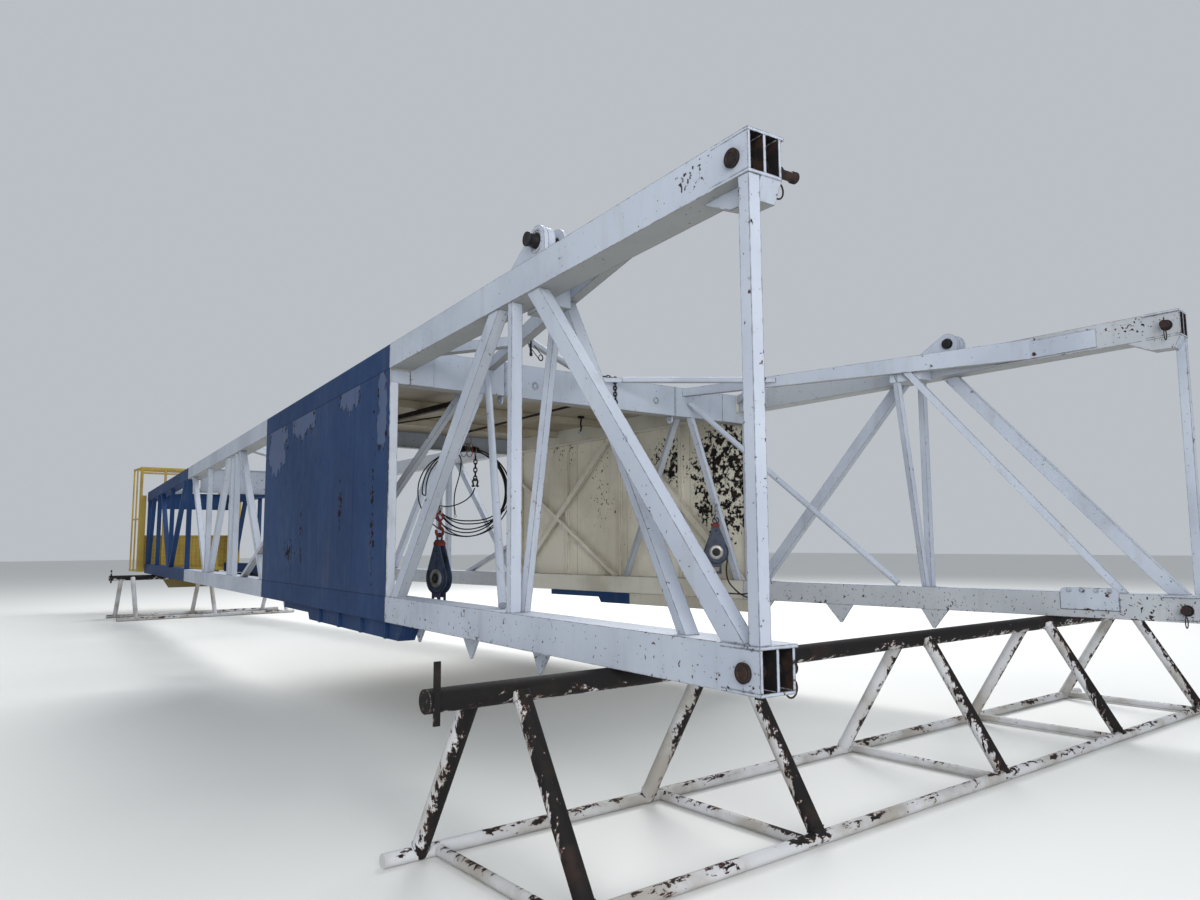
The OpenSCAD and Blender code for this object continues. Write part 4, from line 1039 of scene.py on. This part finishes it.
def girder_fittings():
    """What hangs on the portal girder, its knees and the roof: chain, rings, pins, hairpins."""
    dark, light, hook = Piece(), Piece(), Piece()
    y, z = WHITE_END * CP + 0.048, top(WHITE_END) - 0.010
    bend = mast(0.30, y + 0.03, z + 0.012)
    chain(dark, mast(0.30, y - 0.016, z + 0.012), mast(0.305, y - 0.016, z - 0.275), 7)
    chain(dark, mast(0.14, y + 0.02, z + 0.010), bend, 3)
    chain(dark, bend, mast(0.46, y + 0.10, z + 0.012), 3)
    dark.torus(mast(0.306, y - 0.016, z - 0.315), Y, 0.032, 0.009, 8, 20)
    for eye in (mast(-0.952, y, 2.727), mast(1.037, y, 2.742)):
        light.lathe(eye, -Y, [(0.050, 0), (0.050, 0.006), (0.036, 0.008), (0.036, 0)], 28, True)
        light.lathe(eye, -Y, [(0.030, 0), (0.030, 0.002), (0, 0.001)], 20)
    for s in (1, -1):
        p = mast(-s * 1.82, 4.41, 2.93)
        light.torus(p + Vector((0, 0, -0.02)), X, 0.036, 0.010, 8, 20)
        dark.lathe(p + Vector((-s * 0.03, -0.03, 0.03)), Vector((s * 0.1, 0.05, -1)),
                   [(0.022, 0), (0.022, 0.015), (0.013, 0.018), (0.012, 0.15), (0.018, 0.153),
                    (0.015, 0.185), (0, 0.19)], 14)
        hairpin(dark, p + Vector((0.0, -0.03, -0.055)), Vector((s * 0.62, 0.1, -0.52)).normalized())
    at = mast(1.64, 8.10, 0)
    roof = top(8.1 / CP) - ROOF_DROP - ROOF_PLATE
    hook.block(at + UP * (roof - 0.02), X, Y, UP, (0.10, 0.06, 0.04), 0.006)
    hook.sweep([at + UP * (roof - 0.03 - 0.02 * i) + Vector((0.006 * math.sin(i), 0, 0))
                for i in range(12)], 0.014, 8)
    hook.done("roof_hook", BLACK, "black_steel")
    light.block(at + UP * (roof - 0.275), X, Y, UP, (0.12, 0.04, 0.032), 0.006)
    dark.done("girder_chain", BLACK, "black_steel")
    light.done("girder_fastenings", WHITE, "white_paint")


girder_fittings()

# ---------------------------------------------------------------- trestles and crown
NEAR_LEGS = (-4.0648, -2.1244, 0.3506, 2.6969, 4.9442)   # where pairs of legs meet the near pipe


def trestle_details():
    """The pale rim of the near pipe's end, and the beads of the near legs."""
    cap, bead = Piece(), Piece()
    cap.lathe(mast(-4.535, TRESTLE_AT, PIPE_Z), -X,
              [(0.052, 0), (0.052, 0.002), (0.046, 0.004), (0.020, 0.005), (0, 0.003)], 28)
    cap.lathe(mast(-4.534, TRESTLE_AT, PIPE_Z), -X,
              [(0.070, 0), (0.070, 0.004), (0.058, 0.005), (0.058, 0)], 32, True)
    cap.done("pipe_end_cap", PALE, "worn_white_pipe")
    leg_r = 0.0585
    for x in NEAR_LEGS:
        for s in (-1, 1):
            foot = mast(x - s * 0.13, TRESTLE_AT + s * 0.72, -DECK + 0.045)
            head = mast(x - s * 0.13, TRESTLE_AT + s * 0.06, PIPE_Z)
            d = (head - foot).normalized()
            u = d.orthogonal().normalized()
            v = d.cross(u)
            for p in (foot + d * 0.060, head - d * 0.052):
                bead.sweep([p + (u * math.cos(t) + v * math.sin(t)) * leg_r for t in circle(26)],
                           lambda i: 0.005 * (1 + 0.25 * math.sin(i * 2.1)), 6, True)
    bead.done("trestle_welds", LEGS, "worn_white_pipe")


trestle_details()


def crown_details():
    """Bar grating in front of the crown floor, and rings at the corners of the rail."""
    g = Piece()
    y0, z0, z1 = LEN * CP, 0.16, 1.11
    bars, span = 24, 2.72
    for i in range(bars):
        x = -span / 2 + i * span / (bars - 1)
        g.block(mast(x, y0 + 0.062 - 0.004, (z0 + z1) / 2), X, Y, UP,
                (0.008, 0.012, z1 - z0 - 0.02), 0.002)
    for k in range(8):
        z = z0 + 0.05 + k * 0.12
        g.block(mast(0, y0 + 0.058, z), X, Y, UP, (2.74, 0.008, 0.010), 0.002)
    rail_r = 0.024
    for s in (-1, 1):
        for z in (0.04 + rail_r, top(LEN) + 0.76 - rail_r):
            for y in (0.13 + 0.5, 0.13 + 0.976):
                at = mast(s * (1.45 - rail_r), y0 + y, z)
                g.torus(at, Y, 0.027, 0.006, 7, 20)
    g.done("crown_grating", YELLOW, "yellow_paint")


crown_details()


# ---------------------------------------------------------------- stage and light
def add_stage():
    mesh = bpy.data.meshes.new("floor")
    s = 120
    mesh.from_pydata([(-s, -s, 0), (s, -s, 0), (s, s, 0), (-s, s, 0)], [], [(0, 1, 2, 3)])
    floor = bpy.data.objects.new("floor", mesh)
    scene.collection.objects.link(floor)
    k = Mat("floor")
    k.bsdf.inputs["Base Color"].default_value = (0.72, 0.72, 0.70, 1)
    k.bsdf.inputs["Roughness"].default_value = 0.9
    mesh.materials.append(k.m)


def add_lamp(name, energy, size, at, to):
    data = bpy.data.lights.new(name, "AREA")
    data.energy = energy
    data.size = size
    ob = bpy.data.objects.new(name, data)
    ob.location = at
    ob.rotation_euler = (Vector(to) - Vector(at)).to_track_quat("-Z", "Y").to_euler()
    scene.collection.objects.link(ob)


def add_sky():
    world = bpy.data.worlds.new("world")
    scene.world = world
    world.use_nodes = True
    background = world.node_tree.nodes["Background"]
    background.inputs["Color"].default_value = (0.82, 0.87, 0.93, 1)
    background.inputs["Strength"].default_value = 0.6


add_stage()
add_lamp("key", 9000, 16, (14, 6, 22), (0, -2, 2))
add_lamp("fill", 3300, 14, (-13, -26, 7), (0, -4, 2))
add_sky()
scene.view_settings.view_transform = "Standard"
